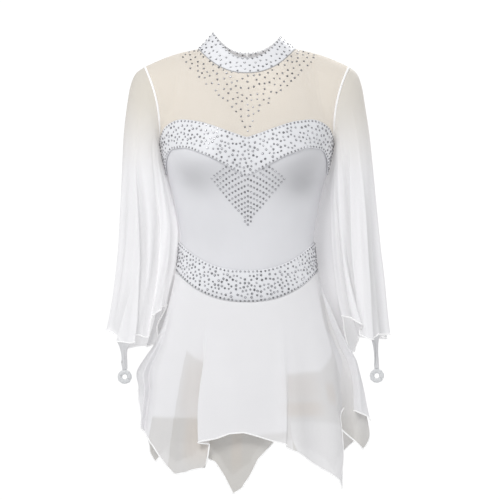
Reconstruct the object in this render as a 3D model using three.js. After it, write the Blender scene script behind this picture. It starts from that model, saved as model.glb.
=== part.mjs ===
// A figure skating dress, filled out as if worn: standing collar, sheer yoke, satin bodice with a
// sweetheart band, curved belt, wide chiffon sleeves with finger loops, and a two-layer
// handkerchief skirt over a brief.
//
// Millimetres, +Z up. The front faces -Y. The origin is the centre of the neck opening, at the
// height where the shoulder seams meet the collar. "drop" is a distance below the origin, "turn"
// is an angle round the body in degrees: 0 at the centre front, 90 at +X, 180 at the centre back.

import * as THREE from 'three';

const SEAM = 0.4; // clear space between two panels at a seam
const SATIN = 1.2; // wall of the bodice and the brief
const MESH = 1.0; // wall of the yoke
const CHIFFON = 1.0; // wall of the sleeves and the skirt
const BAND = 1.6; // wall of the collar, the bust band and the belt
const LIFT = 0.6; // clear space under a band or a skirt layer that lies on a panel
const COLUMN = 7.5; // degrees from one column of the torso's walls to the next

// The torso at rising drops: half width, depth in front and depth behind.
const TORSO = [
  { drop: 110, side: 172, front: 98, back: 92 },
  { drop: 172, side: 165, front: 110, back: 95 },
  { drop: 215, side: 157, front: 111, back: 93 },
  { drop: 243, side: 150, front: 106, back: 90 },
  { drop: 300, side: 137, front: 97, back: 84 },
  { drop: 367, side: 127, front: 92, back: 82 },
  { drop: 424, side: 132, front: 94, back: 90 },
  { drop: 482, side: 139, front: 97, back: 104 },
  { drop: 560, side: 142, front: 94, back: 112 },
];
const SQUARENESS = 0.87; // below 1 the rings are squarer than an ellipse
const BUST = { apart: 80, drop: 212, wide: 50, tall: 46, height: 17 };

// The collar's rings: half width, depth in front and behind, and its drop at the front, the
// sides and the back.
const COLLAR_RIM = {
  side: 63, front: 54, back: 50, frontDrop: 22, leftDrop: -29, rightDrop: -21, backDrop: 7,
};
const COLLAR_FOOT = {
  side: 92, front: 68, back: 64, frontDrop: 47, leftDrop: 2, rightDrop: 2, backDrop: 30,
};
const NECK_COLUMNS = 14; // of the collar and the yoke, round half the neck
const COLLAR_SLIT = 0.8; // degrees from the centre back to each end of the collar
const BUTTON = { radius: 5, drop: 18, clear: 0.4 };

// The sweetheart edge, the lower edge of the bust band, and the back's top edge.
const SWEETHEART = [
  { turn: 0, drop: 173 },
  { turn: 8, drop: 163 },
  { turn: 20, drop: 150 },
  { turn: 29, drop: 143 },
  { turn: 43, drop: 139 },
  { turn: 64, drop: 152 },
  { turn: 76, drop: 165 },
  { turn: 83, drop: 170 },
  { turn: 90, drop: 172 },
];
const BAND_FOOT = [
  { turn: 0, drop: 247 },
  { turn: 13, drop: 224 },
  { turn: 27, drop: 205 },
  { turn: 45, drop: 193 },
  { turn: 57, drop: 195 },
  { turn: 70, drop: 210 },
  { turn: 82, drop: 232 },
  { turn: 90, drop: 243 },
];
const BAND_TUCK = { from: 60, share: 0.62 }; // the band's top row narrows towards the side seams
const BACK_EDGE = { side: 172, centre: 196 };
const BACK_SLIT = 2; // half the slit between the two halves of the back yoke

// The belt dips at the centre front and less at the centre back.
const BELT_TOP = { side: 369, frontDip: 53, backDip: 14 };
const BELT_FOOT = { side: 424, frontDip: 58, backDip: 20 };

// The brief's leg line rises from the crotch seam to the side seams.
const LEG = { sideDrop: 548, crotchDrop: 652, crotchHalf: 36, rise: 1.7, share: 0.28 };
const BRIEF_FULLNESS = { front: 0.98, back: 1.08, drop: 640 };

// The skirt's upper layer, and how far the under layer lies inside it.
const SKIRT = [
  { drop: 400, side: 130, front: 94, back: 88 },
  { drop: 424, side: 132, front: 95, back: 92 },
  { drop: 482, side: 143, front: 104, back: 115 },
  { drop: 572, side: 166, front: 129, back: 142 },
  { drop: 661, side: 189, front: 150, back: 162 },
  { drop: 750, side: 205, front: 170, back: 180 },
  { drop: 840, side: 213, front: 182, back: 191 },
];
// How much further the skirt stands out at each side.
const LEFT_FLARE = [
  { drop: 424, more: 0 },
  { drop: 520, more: 2 },
  { drop: 560, more: 8 },
  { drop: 590, more: 20 },
  { drop: 615, more: 27 },
  { drop: 650, more: 14 },
  { drop: 700, more: 9 },
  { drop: 740, more: 4 },
  { drop: 840, more: 0 },
];
const RIGHT_FLARE = [
  { drop: 424, more: 0 },
  { drop: 450, more: 2 },
  { drop: 470, more: 4 },
  { drop: 490, more: 7 },
  { drop: 510, more: 10 },
  { drop: 530, more: 14 },
  { drop: 560, more: 24 },
  { drop: 600, more: 36 },
  { drop: 640, more: 36 },
  { drop: 680, more: 35 },
  { drop: 720, more: 36 },
  { drop: 760, more: 32 },
  { drop: 800, more: 12 },
  { drop: 840, more: 0 },
];
const FLARE_SHAPE = 6; // how closely the flares keep to the sides
const RIGHT_CLOSE = 0.75; // how much of the gap between the layers closes at the right side
const LAYER_GAP = [
  { drop: 424, gap: 1.7 },
  { drop: 470, gap: 2.4 },
  { drop: 520, gap: 7 },
  { drop: 600, gap: 16 },
  { drop: 840, gap: 24 },
];
const UPPER_HEM = [
  { turn: -180, drop: 722 },
  { turn: -160, drop: 768 },
  { turn: -142.5, drop: 796 },
  { turn: -125, drop: 735 },
  { turn: -108, drop: 668 },
  { turn: -90, drop: 650 },
  { turn: -77, drop: 701 },
  { turn: -68, drop: 720 },
  { turn: -54, drop: 750 },
  { turn: -37.5, drop: 801 },
  { turn: -30, drop: 797 },
  { turn: -22.3, drop: 787 },
  { turn: -21, drop: 744 },
  { turn: -18, drop: 741 },
  { turn: -7, drop: 724 },
  { turn: -1, drop: 722 },
  { turn: 7, drop: 733 },
  { turn: 17.5, drop: 746 },
  { turn: 34, drop: 781 },
  { turn: 49, drop: 813 },
  { turn: 51.7, drop: 829 },
  { turn: 53, drop: 818 },
  { turn: 55, drop: 716 },
  { turn: 63, drop: 680 },
  { turn: 80, drop: 706 },
  { turn: 88, drop: 700 },
  { turn: 97, drop: 690 },
  { turn: 108, drop: 700 },
  { turn: 120, drop: 760 },
  { turn: 129, drop: 812 },
  { turn: 148, drop: 772 },
  { turn: 180, drop: 722 },
];
const UNDER_HEM = [
  { turn: -180, drop: 800 },
  { turn: -174, drop: 824 },
  { turn: -167, drop: 785 },
  { turn: -158, drop: 750 },
  { turn: -135, drop: 716 },
  { turn: -105, drop: 700 },
  { turn: -90, drop: 722 },
  { turn: -80, drop: 747 },
  { turn: -60, drop: 781 },
  { turn: -46, drop: 744 },
  { turn: -28, drop: 746 },
  { turn: -14, drop: 777 },
  { turn: -9.3, drop: 805 },
  { turn: -5.3, drop: 836 },
  { turn: -1.6, drop: 826 },
  { turn: 4.4, drop: 773 },
  { turn: 12.2, drop: 741 },
  { turn: 18, drop: 735 },
  { turn: 36, drop: 716 },
  { turn: 52, drop: 712 },
  { turn: 59, drop: 716 },
  { turn: 72, drop: 759 },
  { turn: 84, drop: 730 },
  { turn: 105, drop: 690 },
  { turn: 135, drop: 712 },
  { turn: 160, drop: 728 },
  { turn: 168, drop: 736 },
  { turn: 175.6, drop: 772 },
  { turn: 180, drop: 800 },
];
// Ridges and troughs of the skirt: where, how wide in degrees, how deep at the hem in
// millimetres, and the drop at which each starts.
const SKIRT_FOLDS = [
  { turn: -170, width: 9, depth: 10, from: 460 },
  { turn: -152, width: 9, depth: -9, from: 480 },
  { turn: -134, width: 9, depth: 11, from: 470 },
  { turn: -114, width: 9, depth: -8, from: 450 },
  { turn: -96, width: 8, depth: 7, from: 500 },
  { turn: -78, width: 7, depth: -6, from: 520 },
  { turn: -62, width: 8, depth: 6, from: 470 },
  { turn: -33, width: 8, depth: -9, from: 500 },
  { turn: -17, width: 9, depth: 9, from: 490 },
  { turn: 4, width: 9, depth: -4, from: 560 },
  { turn: 22, width: 6, depth: 8, from: 500 },
  { turn: 33, width: 7, depth: -8, from: 520 },
  { turn: 46, width: 7, depth: 8, from: 480 },
  { turn: 60, width: 6, depth: -6, from: 470 },
  { turn: 74, width: 7, depth: 8, from: 450 },
  { turn: 90, width: 7, depth: -6, from: 470 },
  { turn: 107, width: 8, depth: 9, from: 460 },
  { turn: 124, width: 8, depth: -8, from: 480 },
  { turn: 143, width: 9, depth: 11, from: 470 },
  { turn: 161, width: 8, depth: -9, from: 480 },
];
const SKIRT_FOLD_REACH = 300; // drop over which a fold grows to its full depth

// A sleeve's rings from the armhole to the hem: distance of its outer and inner sides from the
// middle of the dress, their drops, half its depth, how far its front and back lie inwards, and
// how far its inner back is tucked in behind the body.
const SLEEVE_LEFT = [
  { step: 0, outer: 194, outerDrop: 36, inner: 165, innerDrop: 172, depth: 48, inward: 9.5, tuck: 0 },
  { step: 1, outer: 211, outerDrop: 49, inner: 167, innerDrop: 185, depth: 49, inward: 7, tuck: 6 },
  { step: 2, outer: 221, outerDrop: 72, inner: 164, innerDrop: 200, depth: 47, inward: 4, tuck: 12 },
  { step: 3, outer: 228, outerDrop: 112, inner: 160, innerDrop: 224, depth: 45, inward: 1, tuck: 15 },
  { step: 4, outer: 234, outerDrop: 165, inner: 151, innerDrop: 256, depth: 45, inward: 0, tuck: 18 },
  { step: 5, outer: 237.5, outerDrop: 230, inner: 141, innerDrop: 298, depth: 46, inward: 0, tuck: 22 },
  { step: 6, outer: 241, outerDrop: 302, inner: 133, innerDrop: 350, depth: 49, inward: 0, tuck: 26 },
  { step: 7, outer: 243.5, outerDrop: 376, inner: 136, innerDrop: 400, depth: 53, inward: 0, tuck: 27 },
  { step: 8, outer: 249, outerDrop: 440, inner: 143, innerDrop: 440, depth: 58, inward: 0, tuck: 24 },
  { step: 9, outer: 256.5, outerDrop: 490, inner: 149, innerDrop: 468, depth: 63, inward: 0, tuck: 20 },
  { step: 10, outer: 265, outerDrop: 528, inner: 152, innerDrop: 488, depth: 68, inward: 0, tuck: 8 },
];
const SLEEVE_RIGHT = [
  { step: 0, outer: 194, outerDrop: 36, inner: 165, innerDrop: 172, depth: 48, inward: 9.5, tuck: 0 },
  { step: 1, outer: 209, outerDrop: 49, inner: 168, innerDrop: 185, depth: 49, inward: 7, tuck: 8 },
  { step: 2, outer: 218, outerDrop: 72, inner: 167, innerDrop: 200, depth: 47, inward: 4, tuck: 15 },
  { step: 3, outer: 225, outerDrop: 112, inner: 165, innerDrop: 224, depth: 45, inward: 1, tuck: 20 },
  { step: 4, outer: 233, outerDrop: 165, inner: 163, innerDrop: 256, depth: 45, inward: 0, tuck: 28 },
  { step: 5, outer: 240, outerDrop: 230, inner: 162, innerDrop: 298, depth: 46, inward: 0, tuck: 41 },
  { step: 6, outer: 247, outerDrop: 302, inner: 163, innerDrop: 350, depth: 49, inward: 0, tuck: 52 },
  { step: 7, outer: 253, outerDrop: 376, inner: 166, innerDrop: 402, depth: 53, inward: 0, tuck: 54 },
  { step: 8, outer: 260, outerDrop: 440, inner: 171, innerDrop: 450, depth: 58, inward: 0, tuck: 45 },
  { step: 9, outer: 265, outerDrop: 490, inner: 176, innerDrop: 484, depth: 63, inward: 0, tuck: 32 },
  { step: 10, outer: 270, outerDrop: 530, inner: 181, innerDrop: 508, depth: 68, inward: 0, tuck: 10 },
];
// How much further each part of a sleeve's hem hangs down.
const HEM_LEFT = [
  { turn: 0, more: 33 },
  { turn: 14, more: 42 },
  { turn: 27, more: 51 },
  { turn: 33, more: 46 },
  { turn: 36, more: 10 },
  { turn: 60, more: 3 },
  { turn: 90, more: 0 },
  { turn: 105, more: 32 },
  { turn: 125, more: 68 },
  { turn: 150, more: 70 },
  { turn: 180, more: 60 },
  { turn: 212, more: 56 },
  { turn: 235, more: 16 },
  { turn: 250, more: 2 },
  { turn: 270, more: 0 },
  { turn: 305, more: 15 },
  { turn: 330, more: 38 },
  { turn: 350, more: 48 },
  { turn: 357, more: 49 },
  { turn: 360, more: 33 },
];
const HEM_RIGHT = [
  { turn: 0, more: 31 },
  { turn: 18, more: 30 },
  { turn: 33, more: 17 },
  { turn: 68, more: 14 },
  { turn: 90, more: 8 },
  { turn: 130, more: 26 },
  { turn: 170, more: 32 },
  { turn: 195, more: 34 },
  { turn: 206, more: 64 },
  { turn: 225, more: 72 },
  { turn: 245, more: 58 },
  { turn: 258, more: 22 },
  { turn: 270, more: 0 },
  { turn: 329, more: 2 },
  { turn: 340, more: 8 },
  { turn: 345, more: 27 },
  { turn: 360, more: 31 },
];
const HEM_SHAPE = 5; // how late along the sleeve the extra length of its hem starts
const HEM_SPLAY = 0.3; // how far the inner hem leans away from the skirt, by its extra length
const TUCK = { turn: 140, width: 26 }; // where a sleeve is tucked in, from its front round the inside
// Ridges and troughs of the sleeves. "from" is the step where each starts.
const FOLDS_LEFT = [
  { turn: 5, width: 9, depth: 6, from: 3.5 },
  { turn: 22, width: 7, depth: -7, from: 3 },
  { turn: 35, width: 6, depth: 6, from: 5 },
  { turn: 50, width: 7, depth: -5, from: 4 },
  { turn: 130, width: 9, depth: 5, from: 5 },
  { turn: 156, width: 9, depth: -7, from: 4 },
  { turn: 183, width: 10, depth: 8, from: 3.5 },
  { turn: 210, width: 9, depth: -7, from: 4 },
  { turn: 236, width: 9, depth: 7, from: 5 },
  { turn: 262, width: 8, depth: -4, from: 6 },
  { turn: 286, width: 9, depth: 5, from: 5 },
  { turn: 312, width: 8, depth: -6, from: 4 },
  { turn: 330, width: 7, depth: 6, from: 4 },
  { turn: 346, width: 7, depth: -8, from: 2.5 },
];
const FOLDS_RIGHT = [
  { turn: 0, width: 6, depth: -8, from: 3 },
  { turn: 16, width: 8, depth: 7, from: 3.5 },
  { turn: 36, width: 7, depth: -7, from: 4 },
  { turn: 58, width: 9, depth: 6, from: 5 },
  { turn: 84, width: 8, depth: -4, from: 6 },
  { turn: 112, width: 9, depth: 6, from: 5 },
  { turn: 138, width: 9, depth: -7, from: 4 },
  { turn: 164, width: 9, depth: 8, from: 3.5 },
  { turn: 192, width: 10, depth: -7, from: 4 },
  { turn: 222, width: 9, depth: 5, from: 5 },
  { turn: 312, width: 9, depth: 5, from: 5 },
  { turn: 330, width: 8, depth: -7, from: 3.5 },
  { turn: 345, width: 7, depth: 6, from: 4 },
];

const SLEEVE_COLUMNS = 28;

// The straps hang from the lowest stretch of each sleeve's hem, between two of its columns, to
// the finger rings.
const STRAP = { wall: 1.4, footHalf: 4.5, hemGap: 0.6 };
const LEFT_LOOP = { hand: 'left', x: -230, y: -56, drop: 623, from: 25, to: 27 };
const RIGHT_LOOP = { hand: 'right', x: 245, y: -56, drop: 621, from: 1, to: 3 };
const RING = { radius: 9, cord: 4.4 };

const fabric = (color, roughness) =>
  new THREE.MeshStandardMaterial({ color, roughness, metalness: 0 });
const satin = fabric(0xdcdce2, 0.55);
const trim = fabric(0xf2f2f6, 0.5);
const nude = fabric(0xe9dfcf, 0.8);
const chiffon = fabric(0xf1f1f4, 0.7);
const elastic = fabric(0xe6e8ea, 0.35);

// --- tables ---

function locate(rows, key, place) {
  let index = 0;
  while (index < rows.length - 2 && rows[index + 1][key] < place) index += 1;
  const span = rows[index + 1][key] - rows[index][key];
  return { index, span, part: THREE.MathUtils.clamp((place - rows[index][key]) / span, 0, 1) };
}

// A column's value on straight lines between the rows.
function straight(rows, key, place, column) {
  const { index, part } = locate(rows, key, place);
  return THREE.MathUtils.lerp(rows[index][column], rows[index + 1][column], part);
}

// A column's value on a smooth curve through the rows that never overshoots them.
function curved(rows, key, place, column) {
  const { index, span, part } = locate(rows, key, place);
  const rise = (k) => (rows[k + 1][column] - rows[k][column]) / (rows[k + 1][key] - rows[k][key]);
  const slope = (k) => {
    if (k === 0) return rise(0);
    if (k === rows.length - 1) return rise(k - 1);
    const before = rise(k - 1);
    const after = rise(k);
    return before * after <= 0 ? 0 : (2 * before * after) / (before + after);
  };
  const square = part * part;
  const cube = square * part;
  return (
    (2 * cube - 3 * square + 1) * rows[index][column] +
    (cube - 2 * square + part) * span * slope(index) +
    (3 * square - 2 * cube) * rows[index + 1][column] +
    (cube - square) * span * slope(index + 1)
  );
}

// --- walls ---

const power = (value, exponent) => Math.sign(value) * Math.abs(value) ** exponent;
const smoothRise = (part) => THREE.MathUtils.smoothstep(part, 0, 1);

// A closed wall. pointAt(u, v) is its outer face, with u running counterclockwise seen from
// below and v running down; the inner face lies a thickness further in. A wrapped wall is a tube.
// A level edge has its thickness in its own level plane, so that it meets another edge squarely.
function wall(columns, rows, thickness, pointAt, options = {}) {
  const { wrapped = false, levelTop = false, levelFoot = false } = options;
  const across = wrapped ? columns : columns + 1;
  const outer = [];
  for (let j = 0; j <= rows; j += 1) {
    for (let i = 0; i < across; i += 1) outer.push(pointAt(i / columns, j / rows));
  }
  const at = (i, j) => {
    const column = wrapped ? (i + across) % across : THREE.MathUtils.clamp(i, 0, across - 1);
    return THREE.MathUtils.clamp(j, 0, rows) * across + column;
  };
  const inner = outer.map((point, index) => {
    const i = index % across;
    const j = Math.floor(index / across);
    const along = outer[at(i + 1, j)].clone().sub(outer[at(i - 1, j)]);
    const down = outer[at(i, j + 1)].clone().sub(outer[at(i, j - 1)]);
    const normal = down.cross(along).normalize();
    if (Math.abs(point.y) < SEAM) normal.setY(0).normalize(); // keeps clear of the other panel
    if ((levelTop && j === 0) || (levelFoot && j === rows)) normal.setZ(0).normalize();
    return point.clone().addScaledVector(normal, -thickness);
  });
  const depth = outer.length;
  const faces = [];
  const quad = (a, b, c, d) => faces.push(a, b, c, a, c, d);
  for (let j = 0; j < rows; j += 1) {
    for (let i = 0; i < columns; i += 1) {
      const [a, b, c, d] = [at(i, j), at(i, j + 1), at(i + 1, j + 1), at(i + 1, j)];
      quad(a, b, c, d);
      quad(depth + a, depth + d, depth + c, depth + b);
    }
  }
  for (let i = 0; i < columns; i += 1) {
    const [a, b] = [at(i, 0), at(i + 1, 0)];
    quad(a, b, depth + b, depth + a);
    const [c, d] = [at(i, rows), at(i + 1, rows)];
    quad(c, depth + c, depth + d, d);
  }
  for (let j = 0; j < rows && !wrapped; j += 1) {
    const [a, b] = [at(0, j), at(0, j + 1)];
    quad(a, depth + a, depth + b, b);
    const [c, d] = [at(across - 1, j), at(across - 1, j + 1)];
    quad(c, d, depth + d, depth + c);
  }
  const geometry = new THREE.BufferGeometry();
  const points = [...outer, ...inner].flatMap((point) => point.toArray());
  geometry.setAttribute('position', new THREE.Float32BufferAttribute(points, 3));
  geometry.setIndex(faces);
  geometry.computeVertexNormals();
  return geometry;
}

const dress = new THREE.Group();

function add(name, geometry, material) {
  const mesh = new THREE.Mesh(geometry, material);
  mesh.name = name;
  dress.add(mesh);
  return mesh;
}

// --- the torso and what lies on it ---

function ringPoint(row, turn, drop, out = 0) {
  const [sine, cosine] = [Math.sin(turn), Math.cos(turn)];
  const depth = cosine > 0 ? row.front : row.back;
  const away = new THREE.Vector2(sine / row.side, -cosine / depth).setLength(out);
  const x = row.side * power(sine, SQUARENESS) + away.x;
  const y = -depth * power(cosine, SQUARENESS) + away.y;
  return new THREE.Vector3(x, y, -drop);
}

function ringRow(table, drop) {
  const column = (name) => curved(table, 'drop', drop, name);
  return { side: column('side'), front: column('front'), back: column('back') };
}

// A point of the torso at a turn in degrees, moved out by "out".
function torsoPoint(turn, drop, out = 0) {
  const angle = THREE.MathUtils.degToRad(turn);
  const point = ringPoint(ringRow(TORSO, drop), angle, drop, out);
  const height = Math.exp(-(((drop - BUST.drop) / BUST.tall) ** 2)) * BUST.height;
  for (const middle of [-BUST.apart, BUST.apart]) {
    const cup = Math.exp(-(((point.x - middle) / BUST.wide) ** 2));
    if (Math.cos(angle) > 0) point.y -= height * cup * Math.sqrt(Math.cos(angle));
  }
  return point;
}

const dipped = (edge, turn) => {
  const cosine = Math.cos(THREE.MathUtils.degToRad(turn));
  return edge.side + (cosine > 0 ? edge.frontDip : edge.backDip) * cosine ** 2;
};
const sweetheart = (turn) => curved(SWEETHEART, 'turn', Math.abs(turn), 'drop');
const bandFoot = (turn) => curved(BAND_FOOT, 'turn', Math.abs(turn), 'drop');
const backEdge = (turn) => {
  const cosine = Math.cos(THREE.MathUtils.degToRad(turn));
  return BACK_EDGE.side + (BACK_EDGE.centre - BACK_EDGE.side) * cosine ** 2;
};

// A panel of the torso between edges given as drops by turn, from its top edge to its lower one,
// with a number of rows between each two, so that what lies on it has the same rows. "tuck" is
// the share of the first row that the panel leaves out.
function torsoPanel(startTurn, edges, rowCounts, thickness, out = 0, tuck = () => 0) {
  const stations = rowCounts.flatMap((count, k) =>
    Array.from({ length: count }, (_, row) => ({ k, part: row / count })));
  stations.push({ k: rowCounts.length - 1, part: 1 });
  const seamSide = startTurn < 0 ? -1 : 1;
  return wall(180 / COLUMN, stations.length - 1, thickness, (u, v) => {
    const turn = startTurn + 180 * u;
    const { k, part } = stations[Math.round(v * (stations.length - 1))];
    const along = v === 0 ? tuck(turn) / rowCounts[0] : part;
    const drop = THREE.MathUtils.lerp(edges[k](turn), edges[k + 1](turn), along);
    const point = torsoPoint(turn, drop, out);
    if (u === 0 || u === 1) point.y = (seamSide * SEAM) / 2;
    return point;
  }, { levelTop: true, levelFoot: true });
}

const beltFoot = (turn) => dipped(BELT_FOOT, turn);
const beltTop = (turn) => dipped(BELT_TOP, turn);
const lower = (edge, by) => (turn) => edge(turn) + by;
const bandOut = LIFT + BAND;
const [FRONT, BACK] = [-90, 90];
const BAND_ROWS = 4;
const BELT_ROWS = 2;

const frontEdges = [sweetheart, bandFoot, beltTop, beltFoot];
add('bodice_front', torsoPanel(FRONT, frontEdges, [BAND_ROWS, 5, BELT_ROWS], SATIN), satin);
add('bodice_back', torsoPanel(BACK, [backEdge, beltTop, beltFoot], [5, BELT_ROWS], SATIN), satin);
const bandTuck = (turn) =>
  BAND_TUCK.share * THREE.MathUtils.smoothstep(Math.abs(turn), BAND_TUCK.from, 90);
const bandEdges = [sweetheart, bandFoot];
add('bust_band', torsoPanel(FRONT, bandEdges, [BAND_ROWS], BAND, bandOut, bandTuck), trim);
add('belt_front', torsoPanel(FRONT, [beltTop, beltFoot], [BELT_ROWS], BAND, bandOut), trim);
add('belt_back', torsoPanel(BACK, [beltTop, beltFoot], [BELT_ROWS], BAND, bandOut), trim);

// --- the collar and the yoke ---

// A ring of the collar, whose drop changes from its front over its sides to its back.
function collarPoint(ring, turn, drop = 0) {
  const angle = THREE.MathUtils.degToRad(turn);
  const [sine, cosine] = [Math.sin(angle), Math.cos(angle)];
  const middle = cosine > 0 ? ring.frontDrop : ring.backDrop;
  const sideDrop = sine < 0 ? ring.leftDrop : ring.rightDrop;
  const fall = middle + (sideDrop - middle) * Math.abs(sine) ** 2.3;
  const depth = cosine > 0 ? ring.front : ring.back;
  return new THREE.Vector3(ring.side * sine, -depth * cosine, -fall - drop);
}

const collarSpan = 180 - COLLAR_SLIT;
add('collar', wall(2 * NECK_COLUMNS, 3, BAND, (u, v) => {
  const turn = THREE.MathUtils.clamp(360 * u - 180, -collarSpan, collarSpan);
  return collarPoint(COLLAR_RIM, turn).lerp(collarPoint(COLLAR_FOOT, turn), v);
}, { levelFoot: true }), trim);

const buttonPart = (BUTTON.drop - COLLAR_RIM.backDrop) / (COLLAR_FOOT.backDrop - COLLAR_RIM.backDrop);
const buttonSeat = collarPoint(COLLAR_RIM, 180).lerp(collarPoint(COLLAR_FOOT, 180), buttonPart);
const button = add('collar_button', new THREE.SphereGeometry(BUTTON.radius, 10, 7), trim);
button.position.copy(buttonSeat).add(new THREE.Vector3(0, BUTTON.radius + BUTTON.clear, BUTTON.clear * 2));

// A point on a sleeve's ring, on either side of the dress.
function sleeveRing(table, hand, turn, step) {
  const column = (name) => curved(table, 'step', step, name);
  const [sine, cosine] = [Math.sin(turn), Math.cos(turn)];
  const outwards = hand === 'left' ? -sine : sine;
  const middle = (column('outer') + column('inner')) / 2;
  const half = (column('outer') - column('inner')) / 2;
  const fall = (column('outerDrop') + column('innerDrop')) / 2;
  const lean = (column('outerDrop') - column('innerDrop')) / 2;
  const round = THREE.MathUtils.radToDeg(Math.atan2(-outwards, cosine));
  const tuck = Math.exp(-(((round - TUCK.turn) / TUCK.width) ** 2)) * column('tuck');
  const x = middle + half * outwards - column('inward') * cosine ** 2 - tuck;
  return new THREE.Vector3(
    hand === 'left' ? -x : x,
    -column('depth') * cosine,
    -(fall + lean * outwards),
  );
}

// The armhole's edge on the yoke, from the shoulder seam at 0 to the underarm at 1.
function armholeEdge(hand, part, facing) {
  const side = hand === 'left' ? -1 : 1;
  const turn = Math.PI * (facing === 'front' ? 0.5 - part : 0.5 + part);
  const point = sleeveRing(SLEEVE_LEFT, hand, hand === 'left' ? -turn : turn, 0);
  point.x -= side * SEAM;
  point.z += SEAM * part;
  return point;
}

// A patch that fills the space between four edges. The side edges shape it only up to a reach
// from them, as a share of its width, and a corner in the top edge softens further down.
function patch(top, bottom, left, right, reach, softness) {
  const near = (distance) => THREE.MathUtils.clamp(1 - distance / reach, 0, 1) ** 2;
  const samples = [-2, -1, 0, 1, 2];
  const softTop = (u, v) => {
    const spread = softness * Math.min(v, u, 1 - u);
    const sum = new THREE.Vector3();
    for (const k of samples) sum.add(top(u + (k * spread) / 2));
    return sum.divideScalar(samples.length);
  };
  return (u, v) => {
    const [first, last] = [near(u), near(1 - u)];
    const point = softTop(u, v).multiplyScalar(1 - v).addScaledVector(bottom(u), v);
    point.addScaledVector(left(v), first).addScaledVector(right(v), last);
    point.addScaledVector(top(0), -first * (1 - v)).addScaledVector(top(1), -last * (1 - v));
    return point.addScaledVector(bottom(0), -first * v).addScaledVector(bottom(1), -last * v);
  };
}

// The yoke's upper edge runs along one shoulder seam, the foot of the collar and the other
// shoulder seam. "shoulder" is the share of the edge that each shoulder seam takes.
const YOKE = { shoulder: 5 / 24, columns: NECK_COLUMNS + 10, rows: 6 };
const YOKE_SHAPE = { fullness: 15, chest: 2, rise: 0.5, reach: 0.4, softness: 0.5 };
const SHOULDER_RISE = 4.5; // of the middle of each shoulder seam over a straight line

function yokeTop(facing) {
  const front = facing === 'front';
  const tip = (hand) => armholeEdge(hand, 0, facing);
  const neck = (turn) => collarPoint(COLLAR_FOOT, turn, SEAM);
  const startTurn = front ? -90 : 90;
  const [first, second] = front ? ['left', 'right'] : ['right', 'left'];
  return (u) => {
    let point;
    const share = Math.min(u, 1 - u) / YOKE.shoulder;
    if (u < YOKE.shoulder) point = tip(first).lerp(neck(startTurn), share);
    else if (u > 1 - YOKE.shoulder) point = tip(second).lerp(neck(startTurn + 180), share);
    else {
      const part = (u - YOKE.shoulder) / (1 - 2 * YOKE.shoulder);
      point = neck(startTurn + 180 * part);
    }
    if (share < 1 + 1e-9) point.y = front ? -SEAM / 2 : SEAM / 2;
    if (share < 1) point.z += SHOULDER_RISE * Math.sin(Math.PI * share);
    return point;
  };
}

function yokePoint(facing) {
  const front = facing === 'front';
  const [first, second] = front ? ['left', 'right'] : ['right', 'left'];
  const edge = front ? lower(sweetheart, -SEAM) : lower(backEdge, -SEAM);
  const foot = (u) => {
    const point = torsoPoint((front ? -90 : 90) + 180 * u, edge((front ? -90 : 90) + 180 * u));
    if (u === 0 || u === 1) point.copy(armholeEdge(u === 0 ? first : second, 1, facing));
    if (u === 0 || u === 1) point.y = front ? -SEAM / 2 : SEAM / 2;
    return point;
  };
  const side = (hand) => (v) => armholeEdge(hand, v, facing);
  const { reach, softness } = YOKE_SHAPE;
  const cloth = patch(yokeTop(facing), foot, side(first), side(second), reach, softness);
  return (u, v) => {
    const point = cloth(u, v);
    const outside = Math.abs(2 * u - 1);
    const round = YOKE_SHAPE.chest + YOKE_SHAPE.fullness * outside * outside;
    const bulge = round * (1 - outside ** 4) * Math.sin(Math.PI * v ** 0.8);
    point.y += front ? -bulge : bulge;
    point.z += bulge * YOKE_SHAPE.rise;
    return point;
  };
}

const frontYoke = yokePoint('front');
const backYoke = yokePoint('back');
const squareFoot = { levelFoot: true };
add('yoke_front', wall(YOKE.columns, YOKE.rows, MESH, frontYoke, squareFoot), nude);
const backHalf = (start, side) => (u, v) => {
  const point = backYoke(start + u / 2, v);
  if (start + u / 2 === 0.5) point.x = side * BACK_SLIT;
  return point;
};
const half = YOKE.columns / 2;
add('yoke_back_right', wall(half, YOKE.rows, MESH, backHalf(0, 1), squareFoot), nude);
add('yoke_back_left', wall(half, YOKE.rows, MESH, backHalf(0.5, -1), squareFoot), nude);

// --- the brief ---

// The brief's lower edge: a leg line at each side of the crotch seam. "across" runs from -1 at
// one side seam to 1 at the other.
function briefFoot(across) {
  const outside = Math.abs(across);
  if (outside < LEG.share) {
    return new THREE.Vector3((across / LEG.share) * LEG.crotchHalf, 0, -LEG.crotchDrop);
  }
  const part = (outside - LEG.share) / (1 - LEG.share);
  const seamSide = ringRow(TORSO, LEG.sideDrop).side;
  const x = THREE.MathUtils.lerp(LEG.crotchHalf, seamSide, part ** 0.8);
  const drop = THREE.MathUtils.lerp(LEG.sideDrop, LEG.crotchDrop, (1 - part) ** LEG.rise);
  return new THREE.Vector3(Math.sign(across) * x, 0, -drop);
}

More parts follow.
